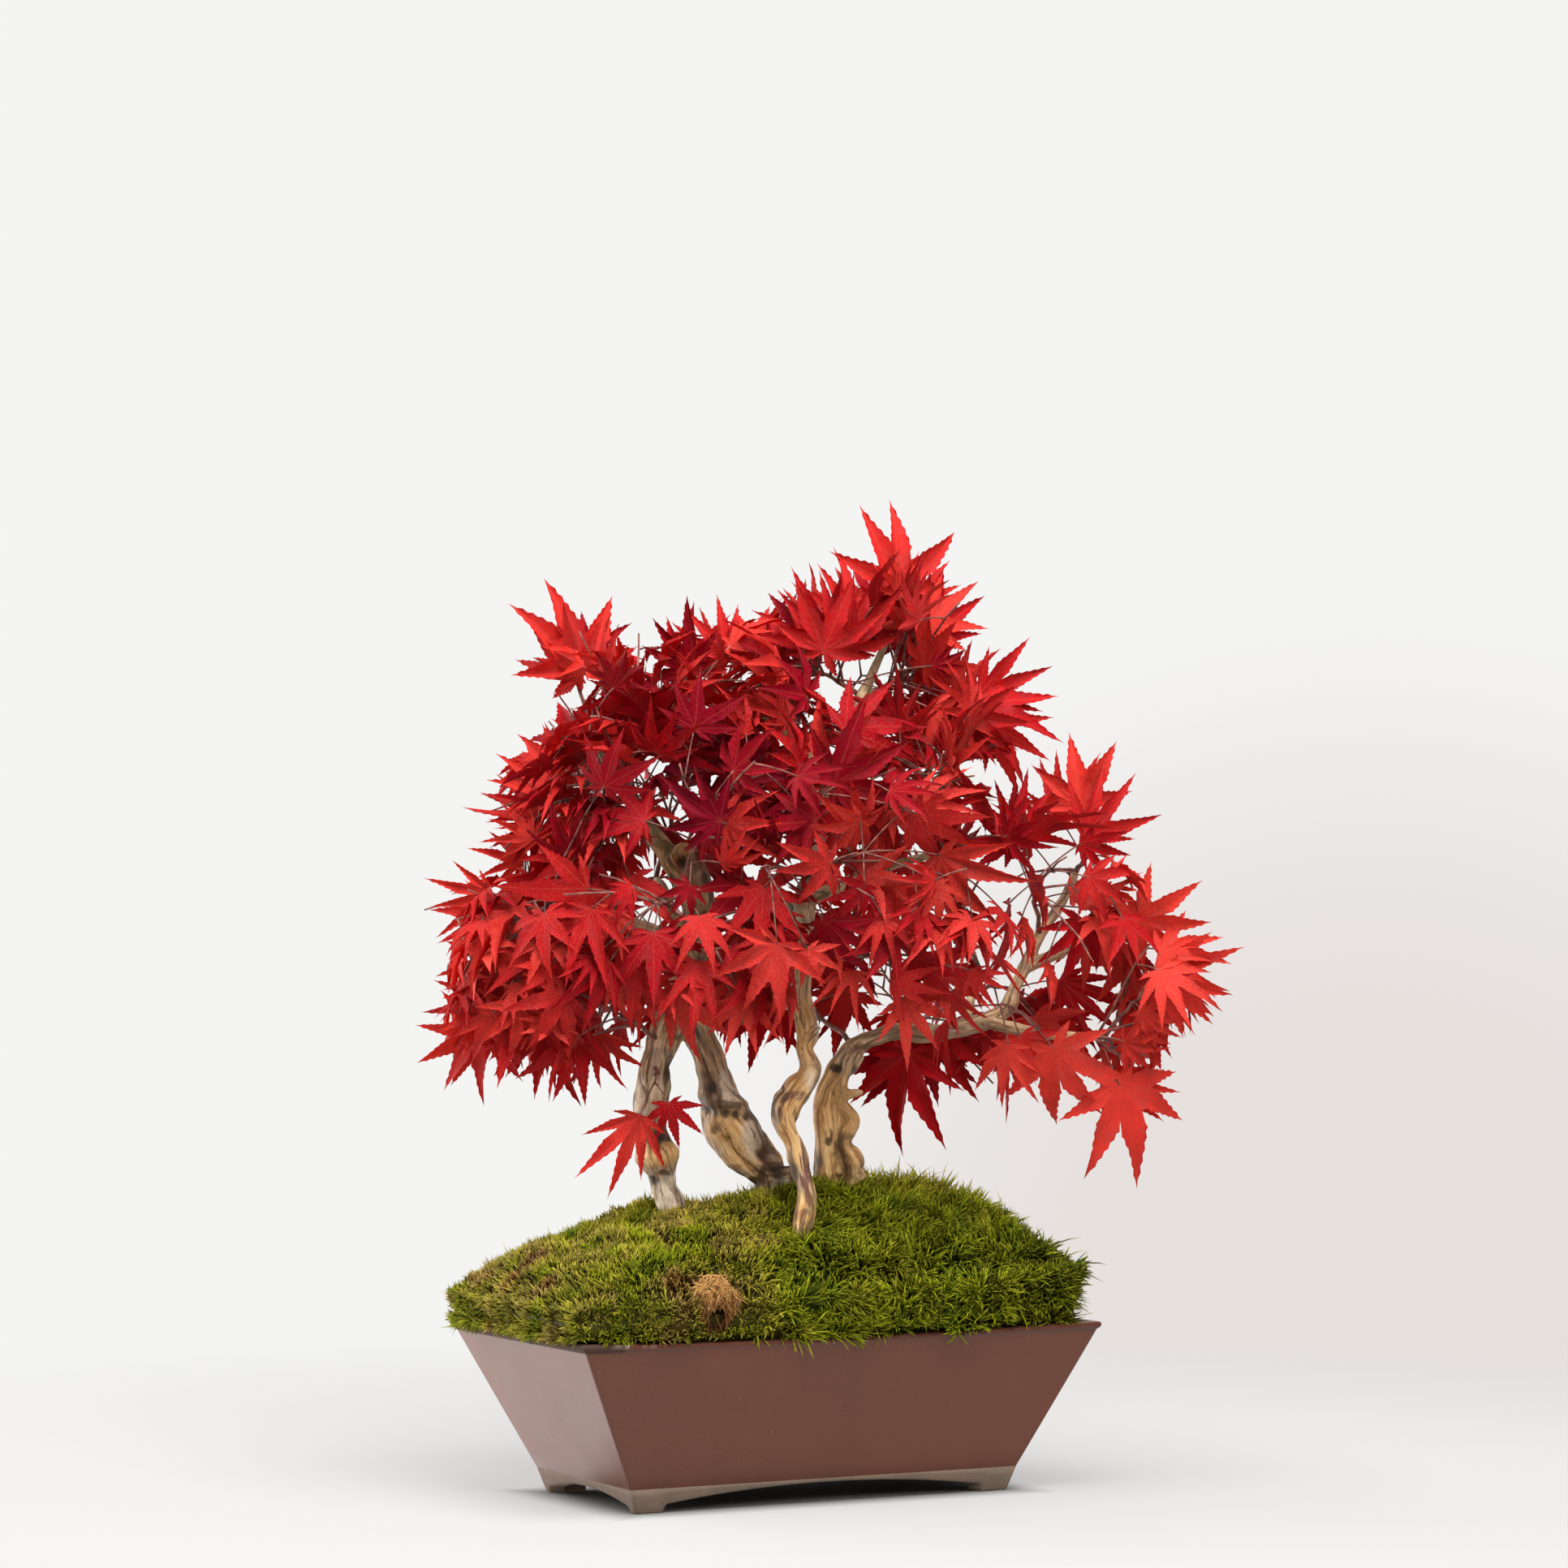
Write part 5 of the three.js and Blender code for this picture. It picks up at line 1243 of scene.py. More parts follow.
def bladeMesh(roots, normals, character, draws, steps):
    # a blade is a bent three-sided needle with a ring at each step and a point at its end;
    # blades of a tuft fan out from its middle, and tufts from the middle of their cushion
    hue, length, comb = character
    count = len(roots)
    warped = roots + moss["warp"] * threeNoises(roots, 9.0, 14.0)
    cell = np.floor(warped / moss["tuft"])
    jitter = threeDraws(cell, 11.0)
    middle = (cell + 0.2 + 0.6 * jitter) * moss["tuft"]
    outward = (warped - middle) / moss["tuft"]
    wide = np.floor(warped / moss["cushion"])
    wideMiddle = (wide + 0.25 + 0.5 * threeDraws(wide, 17.0)) * moss["cushion"]
    fan = (warped - wideMiddle) / moss["cushion"]
    inner = np.clip(1 - np.linalg.norm(outward, axis=1), 0, 1)
    length = length * (0.60 + 0.55 * inner) * draws.uniform(0.6, 1.25, count)
    stray = draws.uniform(0, 1, count) < moss["strays"]
    length = np.where(stray, length * 1.55, length)
    combing = threeNoises(roots, 22, 21.0) * (1.0, 1.0, 0.0)
    loose = draws.normal(0, 1, (count, 3))
    rise = unit(normals + skyward * 0.35 + outward * 0.9 + combing * 1.2 + loose * 0.24)
    lean = (outward * 0.8 + (combing * 2.2 + fan * 1.6) * comb[:, None] + loose * 0.35
            - skyward * (0.3 * comb[:, None]))
    lean = lean - rise * dot(lean, rise)[:, None]
    bend = lean * (length * (0.25 + 0.30 * comb))[:, None]
    width = draws.uniform(*moss["width"], count) * (0.75 + 0.35 * comb)
    side = unit(np.cross(rise, loose + 0.01))
    over = np.cross(rise, side)
    spine = (roots[:, None] + rise[:, None] * (length[:, None] * steps)[..., None]
             + bend[:, None] * (steps ** 2)[None, :, None])
    tip = roots + rise * length[:, None] + bend
    thick = width[:, None] * np.interp(steps, moss["steps"], (0.8, 1.0, 0.72))
    angle = ringAngles(3)[None, :, None]
    ring = side[:, None] * np.cos(angle) * 1.3 + over[:, None] * np.sin(angle) * 0.6
    body = spine[:, :, None] + thick[..., None, None] * ring[:, None]
    size = 3 * len(steps) + 1
    points = np.concatenate([body.reshape(count, size - 1, 3), tip[:, None]], 1)
    start = np.arange(count)[:, None, None] * size
    k = np.arange(3)
    after = (k + 1) % 3
    quads = together(k, after, after + 3, k + 3)
    quads = start + np.concatenate([quads + 3 * step for step in range(len(steps) - 1)])
    tips = start + together(k + size - 4, after + size - 4, np.full(3, size - 1))
    bases = start[:, 0] + np.array([[2, 1, 0]])
    tone = 0.40 + 0.17 * draws.normal(0, 1, count) + 0.6 * (jitter[:, 0] - 0.5) + 0.25 * (inner - 0.5)
    tone = tone - 0.34 * smoothStep(viewed(roots)[:, 0], 95, 165)
    tone = np.clip(tone + 0.3 * stray, 0, 1)
    hue = np.clip(hue + 0.05 * draws.normal(0, 1, count), 0, 1)
    fields = {"mossHue": np.repeat(hue, size), "mossTone": np.repeat(tone, size),
              "mossTip": np.tile(np.append(np.repeat(steps, 3), 1.0), count)}
    return points.reshape(-1, 3), [quads.reshape(-1, 4), tips.reshape(-1, 3), bases], fields


def bladeMap(blocks, fields, share):
    # the finish depends on hue, tone and height up the blade, so the map is laid out by them
    maps = []
    levels, thin = 24, 0.003
    for block in blocks:
        sides = block.shape[1]
        hue, tone = fields["mossHue"][block[:, 0]], fields["mossTone"][block[:, 0]]
        column = np.minimum((hue * levels).astype(int), levels - 1) + 0.1 + 0.8 * tone
        fan = np.array([-0.5, 0.5, 0.5, -0.5] if sides == 4 else [-0.5, 0.5, -0.5]) * thin
        across = 0.01 + 0.98 * column[:, None] / levels + fan
        climb = fields["mossTip"][block]
        up = share + (1 - share) * (0.03 + 0.94 * climb)
        if (np.ptp(climb, axis=1) == 0).any():
            up = up + np.array([0.0, 0.004, 0.008])[:sides]
        maps.append(together(across, up))
    return maps


def makeCushion(name, cell, material, seed):
    # a lumpy base over its part of the mound, and the blades that stand on it
    first, last, front, back = cell
    low, high = np.array([columns[first], front]), np.array([columns[last], back])
    shareX, shareY = np.meshgrid(np.linspace(low[0], high[0], 56), np.linspace(low[1], high[1], 50))
    x, y = spreadOut(shareX, shareY, True)
    crease = np.exp(-(seamGap(shareX, shareY, cell) / 4.0) ** 2) * (mound["crease"] + 1)
    lumps = 1.6 * (softNoise(together(x, y, np.zeros(x.shape)), 6.0, 6.0) - 0.5)
    thick = np.maximum(moundHeight(x, y) - crease - moss["depth"] - 1.5 + lumps, 1.5)
    top = together(x, y, rimLevel(x) + thick)
    x, y = spreadOut(shareX, shareY, False)
    bottom = together(x, y, rimLevel(x) + mound["gap"])
    basePoints, upper, lower, walls = sheetShell(top, bottom)
    draws = np.random.default_rng(seed)
    roots, normals = bladeRoots(cell, draws, 1.0)
    keep = keepOffWood(roots) & clearOfClump(roots)
    roots, normals = roots[keep], normals[keep]
    steps = np.array(moss["fewSteps"] if first == 0 else moss["steps"])
    most = int(moss["mostTriangles"] / (6 * len(steps) - 2))
    if len(roots) > most:
        chosen = draws.permutation(len(roots))[:most]
        roots, normals = roots[chosen], normals[chosen]
    points, blocks, fields = bladeMesh(roots, normals, mossCharacter(*roots.T), draws, steps)
    share = 0.3
    grid = together(shareX, shareY).reshape(-1, 2)
    flat = (np.concatenate([grid, grid]) - low) / (high - low) * (1.0, 0.95 * share)
    maps = [flat[block] for block in (upper, lower, walls)]
    maps[2] = maps[2] + np.array([[0, 0], [0, 0], [0, 0.012], [0, 0.012]])
    maps += bladeMap(blocks, fields, share)
    count = len(basePoints)
    # the base sheet takes the blades' dark foot colour: painted shade under the blades
    baseFields = {"mossHue": mossCharacter(*basePoints.T)[0], "mossTone": np.full(count, 0.3),
                  "mossTip": np.zeros(count)}
    fields = {key: np.concatenate([values, fields[key]]) for key, values in baseFields.items()}
    piece = surface(name.replace("moss", "cushion"), np.concatenate([basePoints, points]),
                    [upper, lower, walls] + [block + count for block in blocks], [material],
                    uv=maps, fields=fields)
    settle(piece, "moss_green" if name in greenCushions else "moss_olive", name)


clump = {"at": (-31, -104, 106), "size": (12.5, 8.5, 12.5), "strands": 2200, "quickStrands": 500}


def clearOfClump(roots):
    flat = viewed(roots) - np.array(clump["at"])
    return ((flat / (np.array(clump["size"]) + 1.5)) ** 2).sum(1) > 1


mossLook = {
    # by hue, from brown over olive to deep green: the upper part of a blade, and its foot, which is
    # painted dark as shade deep in the mat
    "fresh": [(0.06, (0.24, 0.11, 0.026)), (0.22, (0.44, 0.32, 0.080)), (0.40, (0.40, 0.34, 0.038)),
              (0.56, (0.30, 0.32, 0.007)), (0.72, (0.24, 0.285, 0.003)), (0.95, (0.09, 0.18, 0.008))],
    "deep": [(0.06, (0.050, 0.022, 0.006)), (0.22, (0.085, 0.052, 0.010)), (0.40, (0.070, 0.056, 0.006)),
             (0.56, (0.052, 0.054, 0.003)), (0.72, (0.036, 0.048, 0.001)), (0.95, (0.016, 0.036, 0.003))],
    "tip": (0.62, 0.52, 0.07),
}


def makeMossFinish():
    # blades painted dark at the foot as shade deep in the moss, fresh above and yellow at the tip, by
    # their own hue and tone
    material, tree, _ = newMaterial("living_moss")
    hue, tip = field(tree, "mossHue"), field(tree, "mossTip")
    climb = mapped(tree, tip, 0.05, 0.85, smooth=False)
    colour = mixColour(tree, climb, ramp(tree, hue, mossLook["deep"]), ramp(tree, hue, mossLook["fresh"]))
    colour = overlaid(tree, colour, mapped(tree, tip, 0.72, 1.0, smooth=False), 0.4, mossLook["tip"])
    tone = calc(tree, "MULTIPLY_ADD", field(tree, "mossTone"), 1.5, 0.28)
    shade = put(tree, "ShaderNodeHueSaturation", {"Color": colour, "Value": tone}).outputs["Color"]
    wire(tree, shade, 0.6, None, 0.12)
    letThrough(tree, shade, 0.22)
    return material


mossFinish = makeMossFinish()
for number, (cushionName, cell) in enumerate(cushions.items()):
    makeCushion(cushionName, cell, mossFinish, 40 + number)
print("moss made")


def makeClumpFinish():
    material, tree, place = newMaterial("dried_moss")
    # dark to light by the strands' own tone and by painted light and shade
    colour = ramp(tree, field(tree, "clumpToneAndShade"), [
        (0.0, (0.010, 0.004, 0.002)), (0.3, (0.10, 0.038, 0.011)), (0.6, (0.30, 0.138, 0.040)),
        (1.0, (0.56, 0.32, 0.115))])
    wire(tree, colour, 0.85, bumped(tree, noiseAt(tree, place, 900.0, 3.0), 0.3, 0.0004), 0.12)
    return material


def makeClump():
    # a crumpled lump with a hollow at its foot, thatched by fibres that run down over it
    draws = np.random.default_rng(77)
    middle, size = np.array(clump["at"], float), np.array(clump["size"])
    hollowWay = unit(np.array([0.26, -0.80, -0.62]))
    lat, lon = np.meshgrid(np.linspace(-1, 1, 60) * math.pi / 2, np.arange(90) * math.pi / 45,
                           indexing="ij")
    sphere = together(np.cos(lat) * np.cos(lon), np.cos(lat) * np.sin(lon), np.sin(lat))
    hole = np.exp(-(np.linalg.norm(sphere - hollowWay, axis=-1) / 0.58) ** 4)
    reach = clumpReach(sphere) * (1 - 0.55 * hole)
    points, blocks = ringLoft(list(turned(middle + sphere * size * reach[..., None])), False)
    # painted shade: darker in the ball's dips and nearly black in the hollow
    ballShade = np.clip(0.18 + 0.5 * (reach - 0.7), 0, 0.4) * (1 - hole)
    count = clump["strands"]
    start = unit(draws.normal(0, 1, (count, 3)) + (0.0, -0.3, 0.55))
    start = start[start[:, 1] < 0.5]
    count = len(start)
    steps = np.linspace(0, 1, 6)
    swing = unit(draws.normal(0, 1, (count, 3))) * 0.75
    fall = draws.uniform(0.25, 0.85, count)[:, None] * steps
    way = unit(start[:, None] + (swing[:, None] - skyward) * fall[..., None])
    lift = 0.92 + 0.16 * draws.uniform(0, 1, (count, 1))
    lift = lift + draws.uniform(-0.10, 0.40, (count, 1)) * steps ** 3
    path = way * (clumpReach(way) * lift)[..., None]
    off = np.linalg.norm(way[:, -1] - hollowWay, axis=1) > 0.46
    path, count = np.clip(path[off], -1.2, 1.2), int(off.sum())
    radii = draws.uniform(0.20, 0.46, count)[:, None] * np.array([0.7, 1, 1, 0.9, 0.7, 0.3])
    strandPoints, walls, caps = tubes(turned(middle + path * size), radii, 3)
    tone = np.clip(draws.normal(0.52, 0.20, count), 0, 1)[:, None]
    # painted light and shade: lighter out toward the ends and high up, darker low down
    tone = np.clip(tone + 0.30 * (steps - 0.4), 0, 1)
    tone = np.clip(tone + 0.30 * path[..., 2], 0, 1).repeat(3)
    total = len(points)
    piece = surface("dried_clump", np.concatenate([points, strandPoints]),
                    blocks + [walls + total, caps + total], [makeClumpFinish()],
                    fields={"clumpToneAndShade": np.concatenate([ballShade.ravel(), tone])})
    settle(piece, "dried_moss", "dried_moss_clump")


def clumpReach(way):
    # a lumpy ball with a knob on top, as a share of the clump's size
    knob = np.exp(-(np.linalg.norm(way - unit(np.array([-0.15, -0.3, 0.95])), axis=-1) / 0.35) ** 2)
    return 0.50 + 0.44 * softNoise(way, 0.55, 8.0) + 0.22 * ridges(way, 0.33, 9.0) + 0.30 * knob


makeClump()
print("dried clump made")


# [across, away, up] of each twig's tip and the number of leaves on it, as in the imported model
sprayRows = [
    (-124, -52, 254, 6), (-150, -12, 258, 7), (-110, 45, 256, 6), (-82, -76, 250, 6),
    (-63, -50, 216, 3), (-24, -84, 274, 7), (-14, 78, 266, 6),
    (58, -76, 280, 6), (70, 46, 246, 5), (116, -36, 256, 6), (128, 60, 262, 6),
    (158, -26, 236, 6), (184, 14, 222, 5), (196, -12, 264, 7), (196, 36, 280, 7),
    (-148, -30, 306, 7), (-136, 30, 316, 7), (-112, -74, 308, 7), (-62, -96, 308, 7),
    (-8, -100, 326, 7), (44, -98, 334, 7), (98, -76, 320, 7), (132, -32, 318, 6),
    (168, 6, 334, 6), (144, 52, 324, 6), (90, 84, 320, 6), (0, 98, 319, 8), (-92, 74, 314, 6),
    (-112, -24, 362, 7), (-80, -60, 366, 7), (-32, -84, 362, 8), (22, -84, 364, 8),
    (78, -52, 376, 8), (108, 8, 396, 7), (78, 60, 374, 6), (18, 76, 374, 6),
    (-50, 64, 374, 6), (-96, 34, 370, 6),
    (-58, -24, 412, 7), (-20, 32, 420, 6), (12, -32, 432, 7), (72, 14, 428, 7),
    (-107, -10, 430, 5), (55, 4, 468, 6),
]
# Leaves grow away from one of two middles, one in each half of the crown
crownHearts = np.array([(-52.0, 0.0, 345.0), (75.0, 0.0, 305.0)])
crownPower = 2.6
# Rounded blocks that the crown fills: middle [across, away, up], then half sizes
crownBlocks = [
    ((-70, -5, 268), (127, 112, 68)), ((-46, 0, 372), (113, 105, 98)),
    ((48, 0, 438), (70, 62, 90)), ((50, -5, 326), (112, 118, 106)),
    ((112, 5, 412), (38, 44, 46)), ((150, 8, 300), (54, 62, 98)),
    ((190, 8, 252), (56, 62, 50)), ((140, 15, 240), (75, 62, 56)),
    ((66, 44, 225), (36, 38, 44)), ((-112, -8, 440), (32, 34, 48)),
    ((-68, -50, 202), (40, 36, 48)), ((188, 5, 216), (32, 40, 54)),
]
# The crown's outline from the front, [across, up]; single leaves reach past it
crownOutline = [
    (-72, 236), (-84, 220), (-102, 222), (-120, 212), (-132, 222), (-142, 238), (-158, 226),
    (-180, 220), (-180, 242), (-178, 264), (-170, 286), (-178, 300), (-168, 320), (-160, 336),
    (-152, 354), (-150, 374), (-138, 388), (-120, 404), (-106, 406), (-94, 420), (-112, 428),
    (-130, 448), (-118, 474), (-98, 464), (-86, 442), (-66, 440), (-52, 458), (-30, 464),
    (-6, 458), (6, 480), (38, 488), (56, 494), (72, 502), (86, 486), (102, 470), (98, 446),
    (120, 432), (140, 424), (142, 398), (122, 390), (100, 394), (100, 378), (110, 366),
    (124, 362), (134, 374), (146, 362), (156, 396), (172, 384), (190, 372), (192, 350),
    (178, 332), (198, 318), (222, 302), (238, 284), (236, 260), (224, 246), (208, 238),
    (204, 216), (200, 190), (186, 186), (172, 202), (150, 212), (128, 208), (104, 212),
    (90, 210), (72, 210), (54, 198), (48, 218), (58, 236), (48, 248), (30, 236), (20, 234),
    (2, 232), (-14, 226), (-28, 238), (-38, 250), (-52, 236),
]
# Sky and wood that show through the crown: [across, up, half width, half height], and where
# leaves farther away may stand behind the gap, how far away that is
gapRows = [
    (63, 436, 7, 7), (33, 427, 9, 10), (37, 410, 8, 6), (47, 441, 4, 4), (74, 416, 4, 4),
    (72, 391, 5, 3), (112, 332, 11, 15), (124, 312, 8, 6), (148, 345, 4, 5), (157, 355, 4, 5),
    (150, 297, 11, 8), (152, 273, 6, 4), (118, 267, 5, 4), (166, 270, 5, 4), (-97, 254, 4, 4),
    (-90, 247, 3, 3), (-140, 305, 3, 3), (-146, 291, 4, 2), (-63, 382, 5, 4), (-84, 341, 5, 2),
    (-71, 330, 4, 3), (-115, 328, 4, 4), (1, 394, 4, 5), (20, 392, 3, 3), (-85, 418, 4, 3),
    (-38, 427, 4, 3), (7, 249, 6, 5), (36, 241, 5, 5), (62, 254, 11, 4), (28, 228, 6, 8),
    (48, 343, 4, 4), (-155, 268, 5, 3), (-56, 332, 14, 11, -8), (-44, 281, 5, 6, -8),
    (14, 272, 5, 10, -20), (15, 300, 4, 6, -18), (60, 242, 20, 7, 8), (124, 258, 4, 5, 12),
    (-52, 230, 20, 12, -20), (112, 246, 4, 4, 12),
]
# Single leaves placed one by one: [across, up] of the heel and of the middle lobe's tip, how far
# away, and how far the tip leans back, in degrees
singleLeaves = [
    # the crown's top and left shoulder
    (62, 474, 74, 524, 0, 5), (38, 452, 39, 499, -20, 10), (24, 448, 13, 484, -30, -10),
    (14, 452, -6, 471, -10, 10), (79, 455, 107, 477, -5, 0), (80, 446, 88, 490, 10, 8),
    (82, 434, 100, 441, -25, 0), (-28, 438, -34, 471, -20, 0), (-44, 432, -68, 466, -25, 0),
    (-44, 430, -44, 470, -5, 12), (-76, 418, -69, 444, -15, 0), (-83, 418, -90, 448, -20, 5),
    (-105, 433, -114, 483, -8, 0), (-103, 430, -138, 457, -16, 0), (-99, 438, -92, 469, 6, 10),
    (-96, 392, -119, 409, -20, 0), (-110, 378, -139, 395, -10, 0), (-118, 366, -150, 388, -25, 5),
    (-122, 356, -158, 366, 0, 0), (-128, 342, -155, 355, -30, 0), (-134, 330, -164, 338, -10, 0),
    # the left side and its hanging leaves
    (-150, 314, -189, 303, -20, 0), (-146, 302, -179, 288, 0, -10), (-146, 278, -181, 269, -15, 0),
    (-148, 258, -186, 248, -30, 0), (-158, 242, -192, 223, -15, -5), (-154, 244, -182, 213, -25, 5),
    (-138, 254, -150, 224, 10, 0), (-121, 244, -131, 202, -20, 0), (-104, 236, -121, 201, -40, -5),
    (-93, 240, -84, 208, -30, 0), (-72, 197, -89, 154, -66, -6), (-57, 203, -51, 178, -64, 0),
    # the near side, left
    (-88, 278, -121, 254, -100, -10), (-72, 284, -84, 240, -96, 0), (-60, 292, -35, 284, -92, -12),
    (-52, 262, -43, 224, -70, 0), (-76, 317, -98, 302, -104, 0), (-46, 318, -58, 301, -100, 0),
    (-86, 268, -68, 244, -88, 5), (-100, 316, -136, 282, -88, -10), (-106, 296, -74, 312, -84, 5),
    (-30, 330, -4, 344, -100, -5), (-30, 352, -62, 372, -92, 5), (-70, 352, -102, 362, -84, 0),
    # the near side, middle and right
    (0, 287, -21, 249, -108, -5), (16, 284, 27, 262, -104, 0), (24, 300, 47, 264, -96, 5),
    (62, 290, 30, 279, -96, -12), (60, 268, 92, 262, -90, 0), (72, 362, 112, 371, -92, -8),
    (74, 356, 104, 332, -96, -4), (84, 320, 88, 292, -100, 0), (86, 334, 120, 292, -88, 0),
    (30, 372, 76, 396, -84, -8), (20, 352, -14, 354, -98, 4), (46, 318, 30, 296, -104, 0),
    (28, 330, -4, 322, -104, -6), (44, 352, 20, 330, -100, 0), (36, 400, 80, 411, -70, -5),
    (80, 412, 118, 383, -40, -5), (66, 258, 86, 226, -76, 5), (70, 278, 108, 268, -84, -5),
    # the right side
    (106, 418, 146, 431, -5, 0), (106, 412, 152, 397, -18, -5), (104, 408, 127, 384, -30, 5),
    (112, 404, 146, 386, 12, 0), (160, 360, 157, 402, 0, 0), (150, 352, 151, 396, 18, 6),
    (162, 344, 194, 378, -12, 0), (160, 340, 184, 334, -26, 0), (126, 342, 133, 380, -8, 0),
    (124, 340, 101, 366, 6, 0), (190, 300, 232, 296, -8, 0), (202, 282, 244, 281, -14, 0),
    (204, 276, 243, 258, -4, 0), (206, 270, 232, 241, -20, 0), (183, 236, 208, 228, -22, 0),
    (180, 213, 199, 165, -14, 0), (176, 216, 208, 190, 6, 6), (146, 232, 171, 190, -34, 0),
    (122, 234, 116, 200, -44, 0), (128, 238, 143, 209, -30, 4), (88, 240, 98, 206, 30, 0),
    (70, 230, 52, 182, 24, 0), (64, 232, 45, 198, 34, 6), (192, 252, 209, 236, -30, 0),
    (-6, 256, -11, 221, 40, 0), (8, 248, 6, 228, 52, 0), (-20, 260, -24, 232, 60, 0),
    (36, 262, 30, 228, 46, 0), (160, 300, 152, 262, -20, 0), (176, 306, 162, 278, -6, 0),
]
leafShape = {
    # degrees from the middle lobe, reach, half width, all as shares of the leaf's size
    "lobes": [(-120, 0.36, 0.056), (-79, 0.72, 0.092), (-39, 0.94, 0.116), (0, 1.0, 0.124),
              (39, 0.94, 0.116), (79, 0.72, 0.092), (120, 0.36, 0.056)],
    "notch": 0.36, "teeth": 0.010, "thick": 0.14, "tries": 160, "clear": 1.0,
    "petiole": (12.0, 28.0), "size": (32.0, 49.0), "petioleRadius": 0.45,
    "overlap": 0.55, "sizeBetween": (27.0, 46.0), "gather": (0.60, 1.06), "fold": (0.2, 1.25),
    "sag": (0.04, 0.42), "curl": 0.13,
    # shares of a lobe's length: the midrib's points and the points of its toothed edges
    "stations": (0.40, 0.68),
    "edge": (0.42, 0.46, 0.50, 0.55, 0.60, 0.65, 0.70, 0.75, 0.80, 0.85, 0.91),
}
halfOutline = np.array([(0, 1), (20, 0.40), (40, 0.93), (60, 0.38), (80, 0.70)])
wholeOutline = np.concatenate([halfOutline[:0:-1] * (-1, 1), halfOutline])
sideTwigs = {"perTwig": 5, "length": (20.0, 64.0), "leaves": 6, "rounds": 5, "airyFrom": 90}


def twigPoint(bend, share):
    # a quadratic curve through base, bow and tip, with its direction
    a, b, c = bend
    t = np.asarray(share, float)[..., None]
    return bowed(a, b, c, t), unit(2 * (1 - t) * (b - a) + 2 * t * (c - b))


def bowed(a, b, c, t):
    return (1 - t) ** 2 * a + 2 * t * (1 - t) * b + t ** 2 * c


def limbStations():
    rows, limbs = [], []
    for stems, branches in trunks.values():
        for limb in stems + branches:
            rows.append(np.array(limb, float))
            limbs.append(np.full(len(limb), len(limbs)))
    rows = np.concatenate(rows)
    return np.concatenate([turned(rows), rows[:, 3:]], 1), np.concatenate(limbs)


def crownHeart(points):
    share = smoothStep(viewed(points)[..., 0], -40, 70)[..., None]
    return turned(blend(*crownHearts, share))


def makeTwigs(stations):
    perches = stations[stations[:, 2] > 215][:, :3]
    bends = []
    for row in sprayRows:
        tip = turned(row)
        away = np.linalg.norm(perches - tip, axis=1) + 0.6 * np.maximum(0, perches[:, 2] - tip[2])
        base = perches[away.argmin()]
        middle = (base + tip) / 2 + skyward * 0.14 * np.linalg.norm(base - tip)
        bends.append((base, middle, tip))
    return bends


def stickRows(stations, limbs, bends):
    # straight pieces of wood that leaves keep clear of: ends and radius
    same = limbs[1:] == limbs[:-1]
    radius = np.maximum(stations[1:, 3], stations[:-1, 3])
    sticks = [np.concatenate([stations[:-1, :3], stations[1:, :3], radius[:, None]], 1)[same]]
    share = np.linspace(0, 1, 5)
    for bend in bends:
        points, _ = twigPoint(bend, share)
        radius = 1.3 * blend(1, 0.55, share)
        sticks.append(np.concatenate([points[:-1], points[1:], radius[:-1, None]], 1))
    return np.concatenate(sticks)


def leafDraws(spray, leaf):
    # the same row of numbers on every run for a leaf of a spray at each attempt
    state = spray * 7919 + leaf * 613 + np.arange(leafShape["tries"], dtype=np.int64) * 37 + 11
    rows = []
    for _ in range(13):
        state = (1664525 * state + 1013904223) % 4294967296
        rows.append(state / 4294967296)
    return np.array(rows[2:]).T


def offerLeaves(bend, phase, index, draw, sizes):
    # the first leaf ends the twig, the others stand in crossed pairs behind it; blades lean
    # outwards, sink lower down and face the side of the crown that they grow on
    pair = -(-index // 2)
    start, tangent = twigPoint(bend, 1 - 0.22 * max(0, pair - 0.8))
    side, over = sectionFrame(tangent, offAxis)
    column = iter(draw.T)
    around = math.pi * (index % 2) + 1.5 * pair + phase + next(column) - 0.5
    spread = np.full(len(draw), 0.2) if index == 0 else 0.85 + 0.5 * next(column)
    cross = side * np.cos(around)[:, None] + over * np.sin(around)[:, None]
    stalk = tangent * np.cos(spread)[:, None] + cross * np.sin(spread)[:, None]
    centre = start + stalk * blend(*leafShape["petiole"], next(column))[:, None]
    outward = unit(centre - crownHeart(centre))
    sink = np.clip((430 - centre[:, 2]) / 200, 0, 1)
    loose = together(next(column), next(column), next(column)) - 0.5
    along = unit(stalk * 0.55 + outward * 0.9 + loose - skyward * 0.8 * sink[:, None])
    view = turned((0, 1, 0))
    facing = np.clip(centre @ view / 40 + 2 * (next(column) - 0.5), -1, 1)
    loose = together(next(column), next(column), next(column)) - 0.5
    normal = outward * 0.5 + skyward * 0.6 + view * 0.35 * facing[:, None] + loose * 1.9
    normal = unit(normal - along * dot(normal, along)[:, None])
    size = blend(*sizes, next(column))
    start = np.broadcast_to(start, centre.shape)
    return {"start": start, "centre": centre, "along": along, "normal": normal,
            "side": np.cross(normal, along), "size": size, "stalk": stalk}


def outlinePoints(leaf):
    # nine points on each leaf's edge: tips and notches
    reach = wholeOutline[:, 1] * leaf["size"][:, None]
    return onLeaf(leaf, reach, np.radians(wholeOutline[:, 0]), -0.06 * reach)


def onLeaf(leaf, reach, angle, lift):
    # points of leaves (n, points, 3), from their distance and angle about the heel and their height
    return (leaf["centre"][:, None]
            + leaf["along"][:, None] * (reach * np.cos(angle))[..., None]
            + leaf["side"][:, None] * (reach * np.sin(angle))[..., None]
            + leaf["normal"][:, None] * lift[..., None])


